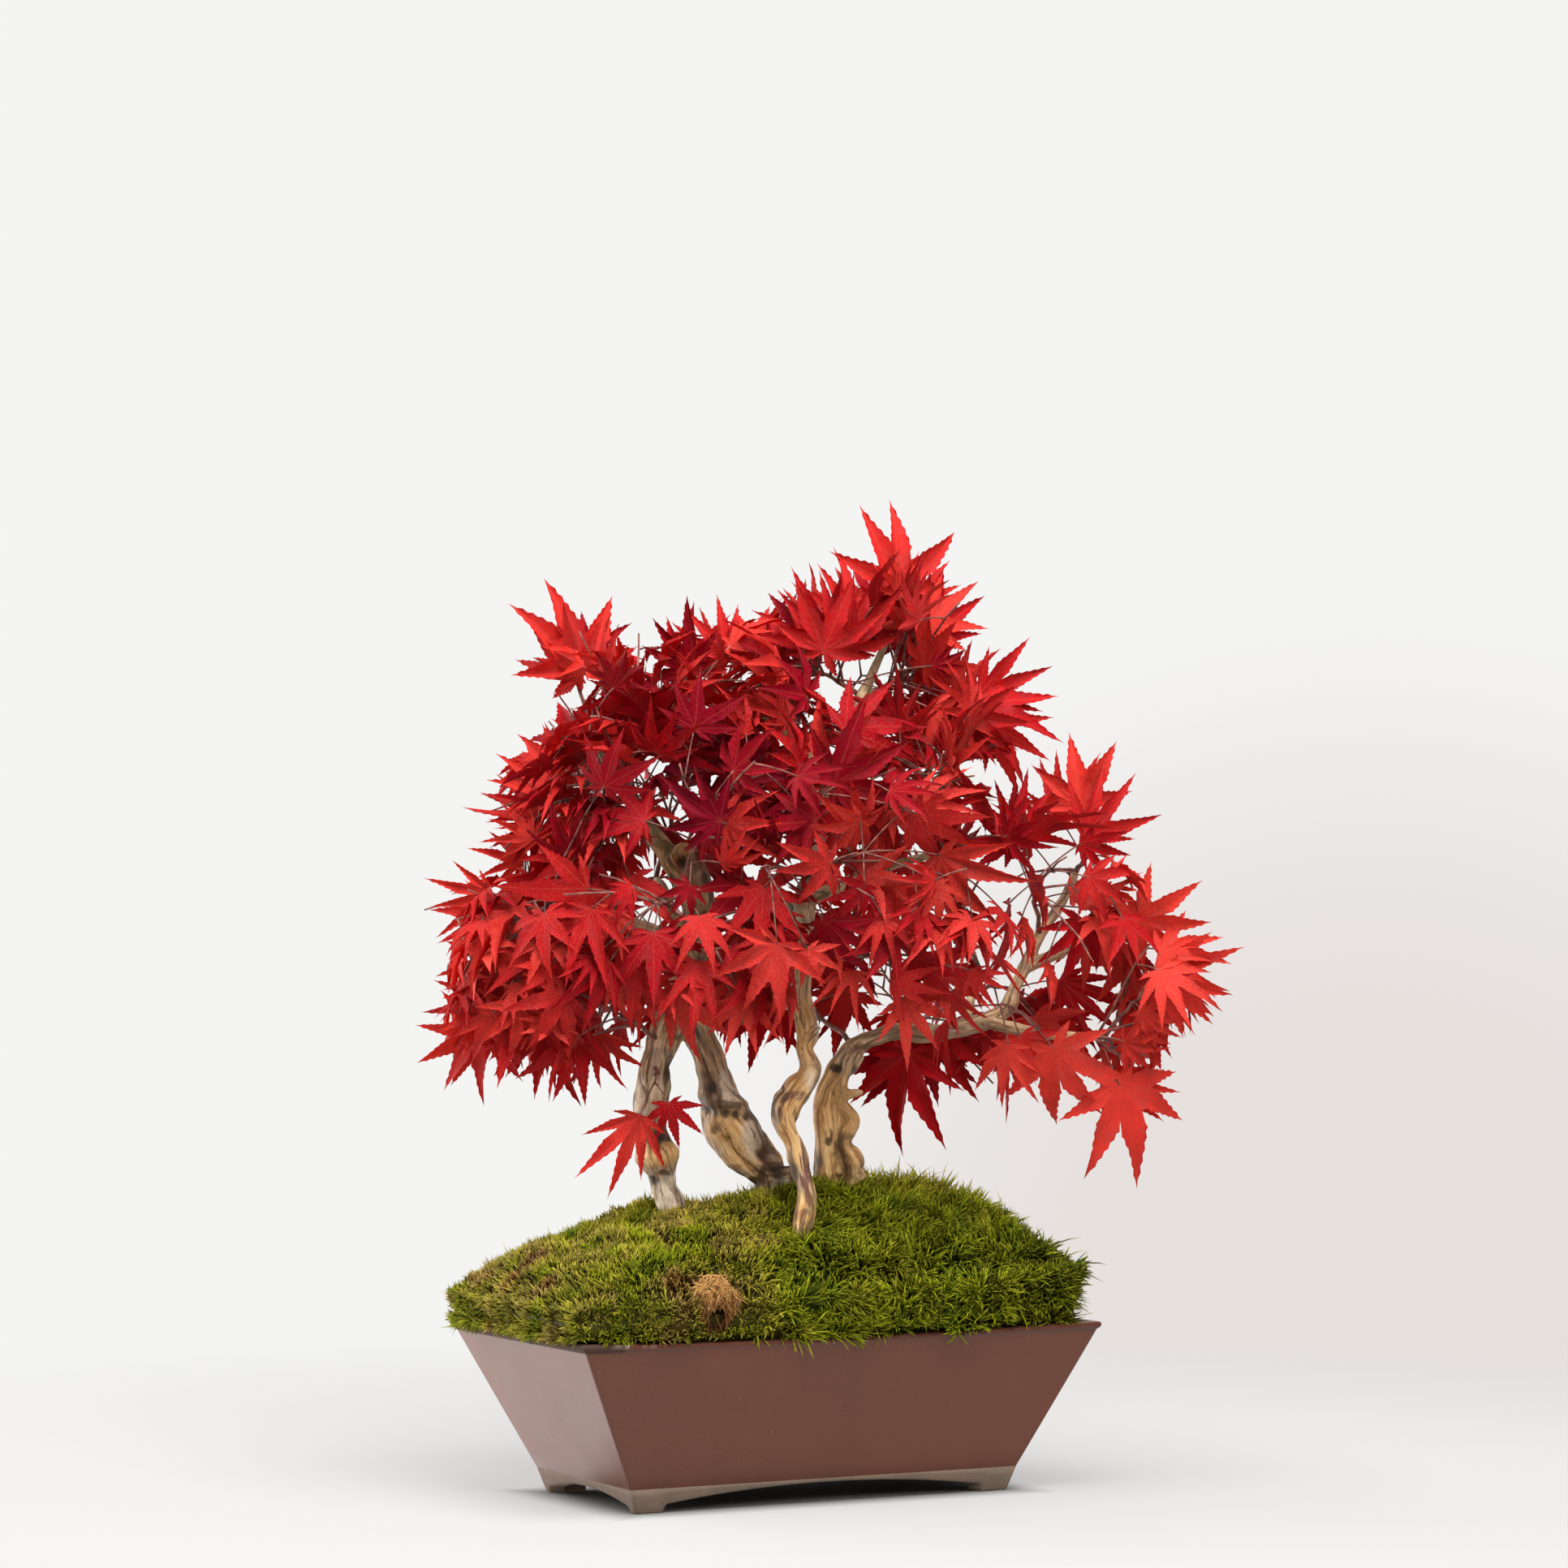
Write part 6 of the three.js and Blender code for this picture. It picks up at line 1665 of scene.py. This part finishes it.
def leafLines(leaf):
    # edges between neighbouring outline points, and ribs from the heel to each tip
    edge = outlinePoints(leaf)
    heel = np.broadcast_to(leaf["centre"][:, None], edge[:, ::2].shape)
    return (np.concatenate([edge[:, :-1], heel], 1), np.concatenate([edge[:, 1:], edge[:, ::2]], 1))


def pierces(leaf, first, second, radius, part=1.0):
    # whether lines (1 or n, m, 3) come through the plane of leaves (n or 1) inside their outline
    centre, normal, along, side = (leaf[key][:, None] for key in ("centre", "normal", "along", "side"))
    highA = dot(normal, first - centre)
    highB = dot(normal, second - centre)
    clear = radius + leafShape["clear"] * part
    sameSide = highA * highB > 0
    apart = sameSide & (np.minimum(np.abs(highA), np.abs(highB)) > clear)
    gap = np.where(highA == highB, 1.0, highA - highB)
    share = np.where(sameSide, np.where(np.abs(highA) < np.abs(highB), 0.0, 1.0), highA / gap)
    hit = first + (second - first) * share[..., None] - centre
    x, y = dot(hit, along), dot(hit, side)
    angle = np.degrees(np.abs(np.arctan2(y, x)))
    table = np.concatenate([halfOutline, [(180, 0.03)]])
    reach = np.interp(angle, table[:, 0], table[:, 1]) * leaf["size"][:, None] * part + clear
    return ~apart & (np.hypot(x, y) < reach)


def inCrown(points):
    # whether points are inside one of the rounded blocks
    inside = np.zeros(points.shape[:-1], bool)
    flat = viewed(points)
    for middle, half in crownBlocks:
        inside |= (np.abs((flat - np.array(middle)) / np.array(half)) ** crownPower).sum(-1) < 1
    return inside


def inOutline(flat):
    # counts the outline's edges that a line to the right of each point crosses
    corners = np.array(crownOutline, float)
    after = np.roll(corners, -1, axis=0)
    x, y = flat[..., 0, None], flat[..., 1, None]
    crosses = (corners[:, 1] > y) != (after[:, 1] > y)
    rise = np.where(after[:, 1] == corners[:, 1], 1.0, after[:, 1] - corners[:, 1])
    edgeX = corners[:, 0] + (y - corners[:, 1]) * (after[:, 0] - corners[:, 0]) / rise
    return (crosses & (x < edgeX)).sum(-1) % 2 == 1


def offGaps(points):
    # whether points stay out of the gaps, or are farther away than what shows there
    flat, away = seen(points), viewed(points)[..., 1]
    clear = np.ones(points.shape[:-1], bool)
    for across, up, halfAcross, halfUp, *depth in gapRows:
        inside = np.hypot((flat[..., 0] - across) / halfAcross, (flat[..., 1] - up) / halfUp) < 1
        clear &= ~(inside & (away < (depth[0] if depth else np.inf)))
    return clear


class Crown:
    # the leaves placed so far, as arrays with room to grow
    room = 1400

    def __init__(self, sticks):
        self.sticks = sticks
        self.count = 0
        self.leaves = {key: np.zeros((self.room, 3)) for key in
                       ("start", "centre", "along", "normal", "side", "stalk")}
        self.leaves["size"] = np.zeros(self.room)
        self.first = np.zeros((self.room, 13, 3))
        self.second = np.zeros((self.room, 13, 3))
        self.owner = np.zeros(self.room, int)
        # how much pale bloom each leaf carries: partly dust, partly painted sheen
        self.dustAndSheen = np.zeros(self.room)

    def add(self, leaf, owner, dustAndSheen):
        for key, values in self.leaves.items():
            values[self.count] = leaf[key][0]
        first, second = leafLines(leaf)
        self.first[self.count], self.second[self.count] = first[0], second[0]
        self.owner[self.count] = owner
        self.dustAndSheen[self.count] = dustAndSheen
        self.count += 1

    def near(self, leaf):
        centres = self.leaves["centre"][:self.count]
        gap = np.linalg.norm(centres - leaf["centre"][0], axis=1)
        reach = self.leaves["size"][:self.count] + leaf["size"][0] + leafShape["petiole"][1]
        return np.flatnonzero(gap <= reach)

    def fits(self, leaf):
        # clear of the wood; and neither it nor its stalk comes through another leaf, or the reverse
        close = np.linalg.norm(self.sticks[:, :3] - leaf["centre"][0], axis=1) < 140
        sticks = self.sticks[None, close]
        if pierces(leaf, sticks[..., :3], sticks[..., 3:6], sticks[..., 6]).any():
            return False
        near = self.near(leaf)
        if not len(near):
            return True
        others = {key: values[near] for key, values in self.leaves.items()}
        petiole, part = leafShape["petioleRadius"], leafShape["overlap"]
        ends = self.first[near].reshape(1, -1, 3), self.second[near].reshape(1, -1, 3)
        return not (pierces(others, leaf["start"][None], leaf["centre"][None], petiole, part).any()
                    or pierces(leaf, others["start"][None], others["centre"][None], petiole, part).any()
                    or pierces(others, *leafLines(leaf), 0.0, part).any()
                    or pierces(leaf, *ends, 0.0, part).any())


def nearness(away):
    # 1 for leaves on the viewer's side of the crown, which carry more of the pale bloom: partly dust,
    # partly painted sheen
    return smoothStep(-away, -20, 90)


def placeLeaf(crown, owner, offers):
    # the first offer that bends gently from its stalk, stays in the crown and finds room
    edge = outlinePoints(offers)
    middles = (edge + offers["centre"][:, None]) / 2
    good = dot(offers["along"], offers["stalk"]) >= 0.45
    good &= inCrown(edge).all(1) & (inOutline(seen(edge)).sum(1) >= 8)
    good &= offGaps(edge[:, ::2]).all(1) & offGaps(middles).all(1)
    for number in np.flatnonzero(good):
        leaf = {key: values[number:number + 1] for key, values in offers.items()}
        if crown.fits(leaf):
            crown.add(leaf, owner, nearness(viewed(leaf["centre"])[0, 1]))
            return


def placeSingles(crown, bends):
    # the listed single leaves face the viewer; their stalks go back to the nearest twig
    share = np.linspace(0.25, 1, 9)
    perches = np.stack([twigPoint(bend, share)[0] for bend in bends])
    draws = np.random.default_rng(5)
    for heelAcross, heelUp, tipAcross, tipUp, away, lean in singleLeaves:
        centre = unseen(heelAcross, heelUp, away)
        tip = unseen(tipAcross, tipUp, away)
        reach = np.linalg.norm(tip - centre)
        along = unit(tip - centre + lookAhead * reach * math.tan(math.radians(lean)))
        roll = draws.normal(0, 0.42)
        normal = -lookAhead + np.cross(along, lookAhead) * roll
        normal = unit(normal - along * (normal @ along))
        gap = perches - centre
        cost = np.linalg.norm(gap, axis=2) + 0.5 * (gap @ along)
        owner, step = np.unravel_index(cost.argmin(), cost.shape)
        start = perches[owner, step]
        leaf = {"start": start, "centre": centre, "along": along, "normal": normal,
                "side": np.cross(normal, along), "size": np.array(reach / math.cos(math.radians(lean))),
                "stalk": unit(centre - start)}
        leaf = {key: np.asarray(value)[None] for key, value in leaf.items()}
        crown.add(leaf, owner, nearness(away))


def sideBend(bend, share, draws):
    start, tangent = twigPoint(bend, share)
    swing = unit(draws.normal(0, 1, 3))
    outward = unit(start - crownHeart(start))
    direction = unit(tangent * 0.4 + swing * 0.75 + outward * 0.45)
    length = draws.uniform(*sideTwigs["length"])
    tip = start + direction * length
    middle = (start + tip) / 2 + skyward * 0.1 * length
    return start, middle, tip


def fillCrown(crown, bends):
    # side twigs with smaller leaves, wherever both find room
    draws = np.random.default_rng(9)
    sides = []
    for _ in range(sideTwigs["rounds"]):
        for owner, bend in enumerate(bends):
            airy = sprayRows[owner][0] > sideTwigs["airyFrom"]
            for number in range(1 if airy else sideTwigs["perTwig"]):
                grown = sideBend(bend, draws.uniform(0.3, 0.98), draws)
                before = crown.count
                for index in range(sideTwigs["leaves"]):
                    draw = draws.random((40, 11))
                    offers = offerLeaves(grown, owner + number, index, draw, leafShape["sizeBetween"])
                    placeLeaf(crown, owner, offers)
                if crown.count > before:
                    sides.append((owner, grown))
    return sides


def growCrown():
    stations, limbs = limbStations()
    bends = makeTwigs(stations)
    crown = Crown(stickRows(stations, limbs, bends))
    placeSingles(crown, bends)
    print("single leaves", crown.count)
    for spray, bend in enumerate(bends):
        for index in range(sprayRows[spray][3]):
            offers = offerLeaves(bend, spray, index, leafDraws(spray, index), leafShape["size"])
            placeLeaf(crown, spray, offers)
    print("with the sprays' leaves", crown.count)
    sides = fillCrown(crown, bends)
    print("with the side twigs' leaves", crown.count)
    return crown, bends, sides


def leafPattern():
    # one leaf as polar places: heel, then for each lobe its midrib stations, tip and toothed
    # edges. Each row is [angle, reach, width share, layer, rim]; weights say which lobes' own
    # changes it follows.
    lobes = leafShape["lobes"]
    rows, weights, index = [], [], {}

    def addRow(key, degrees, along, across, layer, rim, shares, width=None):
        angle = math.radians(degrees) + math.atan2(across, along)
        width = abs(across) if width is None else width
        index[key] = len(rows)
        rows.append((angle, math.hypot(along, across), width, layer, rim))
        weights.append([shares.get(lobe, 0.0) for lobe in range(len(lobes))])

    for layer in (1, -1):
        addRow(("heel", layer), 0, 0.0, 0.0, layer, 0, {})
    addRow("start", 180, 0.035, 0.0, 0, 1, {})
    edge = leafShape["edge"]
    for lobe, (degrees, reach, half) in enumerate(lobes):
        own = {lobe: 1.0}
        for layer in (1, -1):
            for station, share in enumerate(leafShape["stations"]):
                addRow(("rib", lobe, station, layer), degrees, reach * share, 0.0, layer, 0, own)
        addRow(("tip", lobe), degrees, reach, 0.0, 0, 1, own)
        for hand, (step, share) in itertools.product((-1, 1), enumerate(edge)):
            tooth = leafShape["teeth"] * (1.0 if step % 2 else -0.3)
            lift = 0.012 * (step % 2)
            addRow(("edge", lobe, hand, step), degrees, reach * (share + lift),
                   hand * (half * profile(share) + tooth), 0, 1, own)
    for lobe, (before, after) in enumerate(zip(lobes, lobes[1:])):
        reach = leafShape["notch"] * (before[1] + after[1]) / 2
        spread = math.radians((after[0] - before[0]) / 2)
        addRow(("notch", lobe), (before[0] + after[0]) / 2, reach, 0.0, 0, 1, {lobe: 0.5, lobe + 1: 0.5},
               0.75 * reach * math.sin(spread))
    faces = []
    for lobe, hand, layer in itertools.product(range(len(lobes)), (-1, 1), (1, -1)):
        neighbour = lobe if hand == 1 else lobe - 1
        outer = ("notch", neighbour) if 0 <= neighbour < len(lobes) - 1 else "start"
        edges = [("edge", lobe, hand, step) for step in range(len(edge))]
        near, far = (("rib", lobe, station, layer) for station in range(2))
        for part in ([("heel", layer), near, edges[0], outer], [near, far] + edges[6::-1],
                     [far, ("tip", lobe)] + edges[:5:-1]):
            loop = [index[key] for key in part]
            faces.append((loop if hand * layer > 0 else loop[::-1], layer))
    return np.array(rows), np.array(weights), faces


def profile(share):
    # half width along a lobe: fullest near its middle, then drawn out to a long tip
    rise = math.sin(math.pi / 2 * min(1.0, share / 0.46))
    return rise * min(1.0, (1 - share) / 0.54) ** 1.12


patternRows, patternWeights, patternFaces = leafPattern()


def leafGeometry(leaves, draws):
    # the flat pattern laid on each leaf's plane, with folded lobes, sagging tips and own changes
    angle, reach, width, layer, _ = patternRows.T
    count, lobes = len(leaves["size"]), patternWeights.shape[1]
    turnBy = draws.normal(0, 0.06, (count, lobes)) @ patternWeights.T
    stretch = 1 + draws.normal(0, 0.07, (count, lobes)) @ patternWeights.T
    curl = draws.normal(-0.04, leafShape["curl"], (count, lobes)) @ patternWeights.T
    angle = angle * draws.uniform(*leafShape["gather"], count)[:, None] + turnBy
    reach = reach * stretch
    fold = draws.uniform(*leafShape["fold"], count)[:, None]
    sag = draws.uniform(*leafShape["sag"], count)[:, None]
    wave = 0.018 * np.sin(9 * reach + draws.uniform(0, 6.3, (count, 1)) + 3 * angle)
    height = fold * width - sag * reach ** 2 + curl * reach ** 2 + wave * (reach > 0.2)
    size = leaves["size"][:, None]
    return onLeaf(leaves, size * reach, angle, size * height + leafShape["thick"] * layer)


def cellPlaces(count):
    # a square of cells for the map, one for each side of each leaf
    across = math.ceil(math.sqrt(count))
    number = np.arange(count)
    return together(number % across, number // across) / across, 1 / across


def makeSpray(number, crown, bends, sides, materials):
    # a spray's leaves, both sides in map cells of their own, then its wood in a strip beside them
    draws = np.random.default_rng(300 + number)
    mine = np.flatnonzero(crown.owner[:crown.count] == number)
    leaves = {key: values[mine] for key, values in crown.leaves.items()}
    count, size = len(mine), len(patternRows)
    points = [leafGeometry(leaves, draws).reshape(-1, 3)] if count else []
    blocks, maps, pick = [], [], []
    strip = 0.12
    cells, cellSize = cellPlaces(max(1, 2 * count))
    angle, reach, rib, _, rim = patternRows.T
    flat = together(reach * np.sin(angle), reach * np.cos(angle)) * 0.46 + (0.5, 0.42)
    for corners, layer in itertools.product(sorted({len(loop) for loop, _ in patternFaces}), (1, -1)):
        chosen = np.array([loop for loop, which in patternFaces
                           if len(loop) == corners and which == layer])
        block = (np.arange(count)[:, None, None] * size + chosen).reshape(-1, corners)
        cell = cells[np.arange(count) * 2 + (layer == -1)]
        placed = (cell[:, None, None] + flat[chosen] * cellSize * 0.97).reshape(-1, corners, 2)
        blocks.append(block)
        maps.append(placed * (1 - strip, 1.0))
        pick.append(np.full(len(block), 0 if layer == 1 else 1))
    fields = {"leafRib": np.tile(rib, count), "leafReach": np.tile(reach, count),
              "leafToneAndLight": np.repeat(leafToneAndLight(leaves["centre"], draws), size),
              "leafDustAndSheen": np.repeat(crown.dustAndSheen[mine], size)}
    start = count * size
    outline = np.array([[0, 0], [1, 0], [1, 1], [0, 1], [-1, 1], [-1, 0]], float)
    for stickPoints, walls, caps in stickParts(number, leaves, bends, sides, draws):
        points.append(stickPoints)
        for block in (walls, caps):
            blocks.append(block + start)
            run = draws.uniform(0, 1, (len(block), 1))
            across, up = outline[: block.shape[1]].T
            across = np.broadcast_to(1 - strip / 2 + across * strip * 0.2, block.shape)
            maps.append(together(across, 0.02 + 0.94 * run + 0.012 * up))
            pick.append(np.full(len(block), 2))
        start += len(stickPoints)
    total = start - count * size
    fields = {key: np.append(values, np.full(total, 0.5)) for key, values in fields.items()}
    sharp = np.append(np.tile(rim > 0, count), np.zeros(total, bool))
    piece = surface(f"spray_{number + 1:02d}", np.concatenate(points), blocks, materials, uv=maps,
                    pick=pick, fields=fields, sharp=sharp)
    settle(piece, "maple_leaf", f"leaf_spray_{number + 1:02d}")


def leafToneAndLight(centres, draws):
    # how light a leaf is: random, wine red in one patch of the near side, and lightest low down and
    # outside, which is painted light
    flat = viewed(centres)
    gap = np.linalg.norm(flat[:, ::2] - leafLook["wineAt"], axis=1)
    wine = np.exp(-(gap / leafLook["wineReach"]) ** 2)
    outer = smoothStep(flat[:, 0], 110, 200) + smoothStep(-flat[:, 0], 110, 170)
    low = smoothStep(-flat[:, 2], -320, -230)
    # the lift for leaves outside and low down is painted light
    tone = draws.uniform(0.12, 0.85, len(centres)) + 0.3 * outer + 0.1 * low - 0.36 * wine
    return np.clip(tone, 0, 1)


def stickParts(number, leaves, bends, sides, draws):
    # the twig, its side twigs and the leaf stalks, as tapering tubes
    share = np.linspace(0, 1, 9)
    twig, _ = twigPoint(bends[number], share)
    kinks = draws.normal(0, 0.7, twig.shape) * (np.sin(math.pi * share) ** 0.5)[:, None]
    parts = [tubes((twig + kinks)[None], (1.55 - 0.95 * share)[None], 6)]
    mine = [bend for owner, bend in sides if owner == number]
    if mine:
        share = np.linspace(0, 1, 5)
        paths = np.stack([twigPoint(bend, share)[0] for bend in mine])
        paths[:, 1:-1] += draws.normal(0, 0.4, paths[:, 1:-1].shape)
        parts.append(tubes(paths, np.tile(0.85 - 0.35 * share, (len(mine), 1)), 5))
    if len(leaves["size"]):
        share = np.linspace(0, 1, 6)[:, None]
        start, end = leaves["start"][:, None], leaves["centre"][:, None]
        reach = np.linalg.norm(end - start, axis=2, keepdims=True)
        bow = start + (end - start) * 0.5 + skyward * 0.08 * reach
        paths = bowed(start, bow, end, share)
        radii = np.tile(np.array([0.62, 0.5, 0.42, 0.4, 0.42, 0.5]), (len(paths), 1))
        parts.append(tubes(paths, radii, 4))
    return parts


leafLook = {
    # from the darkest leaf to the lightest
    "face": [(0.0, (0.22, 0.001, 0.014)), (0.35, (0.46, 0.003, 0.009)), (1.0, (0.72, 0.052, 0.036))],
    "underside": [(0.0, (0.23, 0.005, 0.015)), (0.5, (0.44, 0.018, 0.020)), (1.0, (0.62, 0.060, 0.046))],
    "rib": (0.62, 0.10, 0.07), "bloom": (0.80, 0.22, 0.17),
    # where the leaves are wine red, [across, up], and how far out that reaches
    "wineAt": (-34, 382), "wineReach": 42,
}


def makeLeafFinish(name, stops):
    # red by the leaf's tone, which is partly painted light, lighter along the ribs, with a pale bloom on
    # those near the top, partly dust and partly painted sheen
    material, tree, place = newMaterial(name)
    tone, rib = field(tree, "leafToneAndLight"), field(tree, "leafRib")
    colour = tinted(tree, place, ramp(tree, tone, stops), 70.0, 1800.0, 0.22)
    midrib = mapped(tree, rib, 0.0, 0.014, 1.0, 0.0, smooth=False)
    colour = overlaid(tree, colour, midrib, 0.28, leafLook["rib"])
    grain = patches(tree, place, 1150.0, 0.55, 0.09)
    speck = times(tree, grain, times(tree, field(tree, "leafDustAndSheen"), 0.30))
    colour = overlaid(tree, colour, speck, tone, leafLook["bloom"])
    waves = times(tree, field(tree, "leafReach"), 62.0)
    barbs = calc(tree, "SINE", calc(tree, "SUBTRACT", waves, times(tree, rib, 75.0)))
    height = calc(tree, "MULTIPLY_ADD", barbs, 0.35, midrib)
    height = calc(tree, "MULTIPLY_ADD", grain, 0.5, height)
    wire(tree, colour, 0.5, bumped(tree, height, 0.35, 0.0004), 0.07)
    links = {"Color": colour, "Saturation": 1.12, "Value": 1.35}
    letThrough(tree, put(tree, "ShaderNodeHueSaturation", links).outputs["Color"], 0.36)
    return material


def makeTwigFinish():
    material, tree, place = newMaterial("maple_twig")
    bark = noiseAt(tree, place, 260.0, 4.0)
    colour = ramp(tree, bark, [
        (0.3, (0.060, 0.020, 0.016)), (0.5, (0.17, 0.055, 0.042)), (0.7, (0.33, 0.12, 0.085))])
    wire(tree, colour, 0.6, bumped(tree, bark, 0.3, 0.0004))
    return material


leafMaterials = [makeLeafFinish("maple_leaf_" + side, leafLook[side]) for side in ("face", "underside")]
leafMaterials.append(makeTwigFinish())
crown, bends, sides = growCrown()
for number in range(len(sprayRows)):
    makeSpray(number, crown, bends, sides, leafMaterials)
print("leaf sprays made")
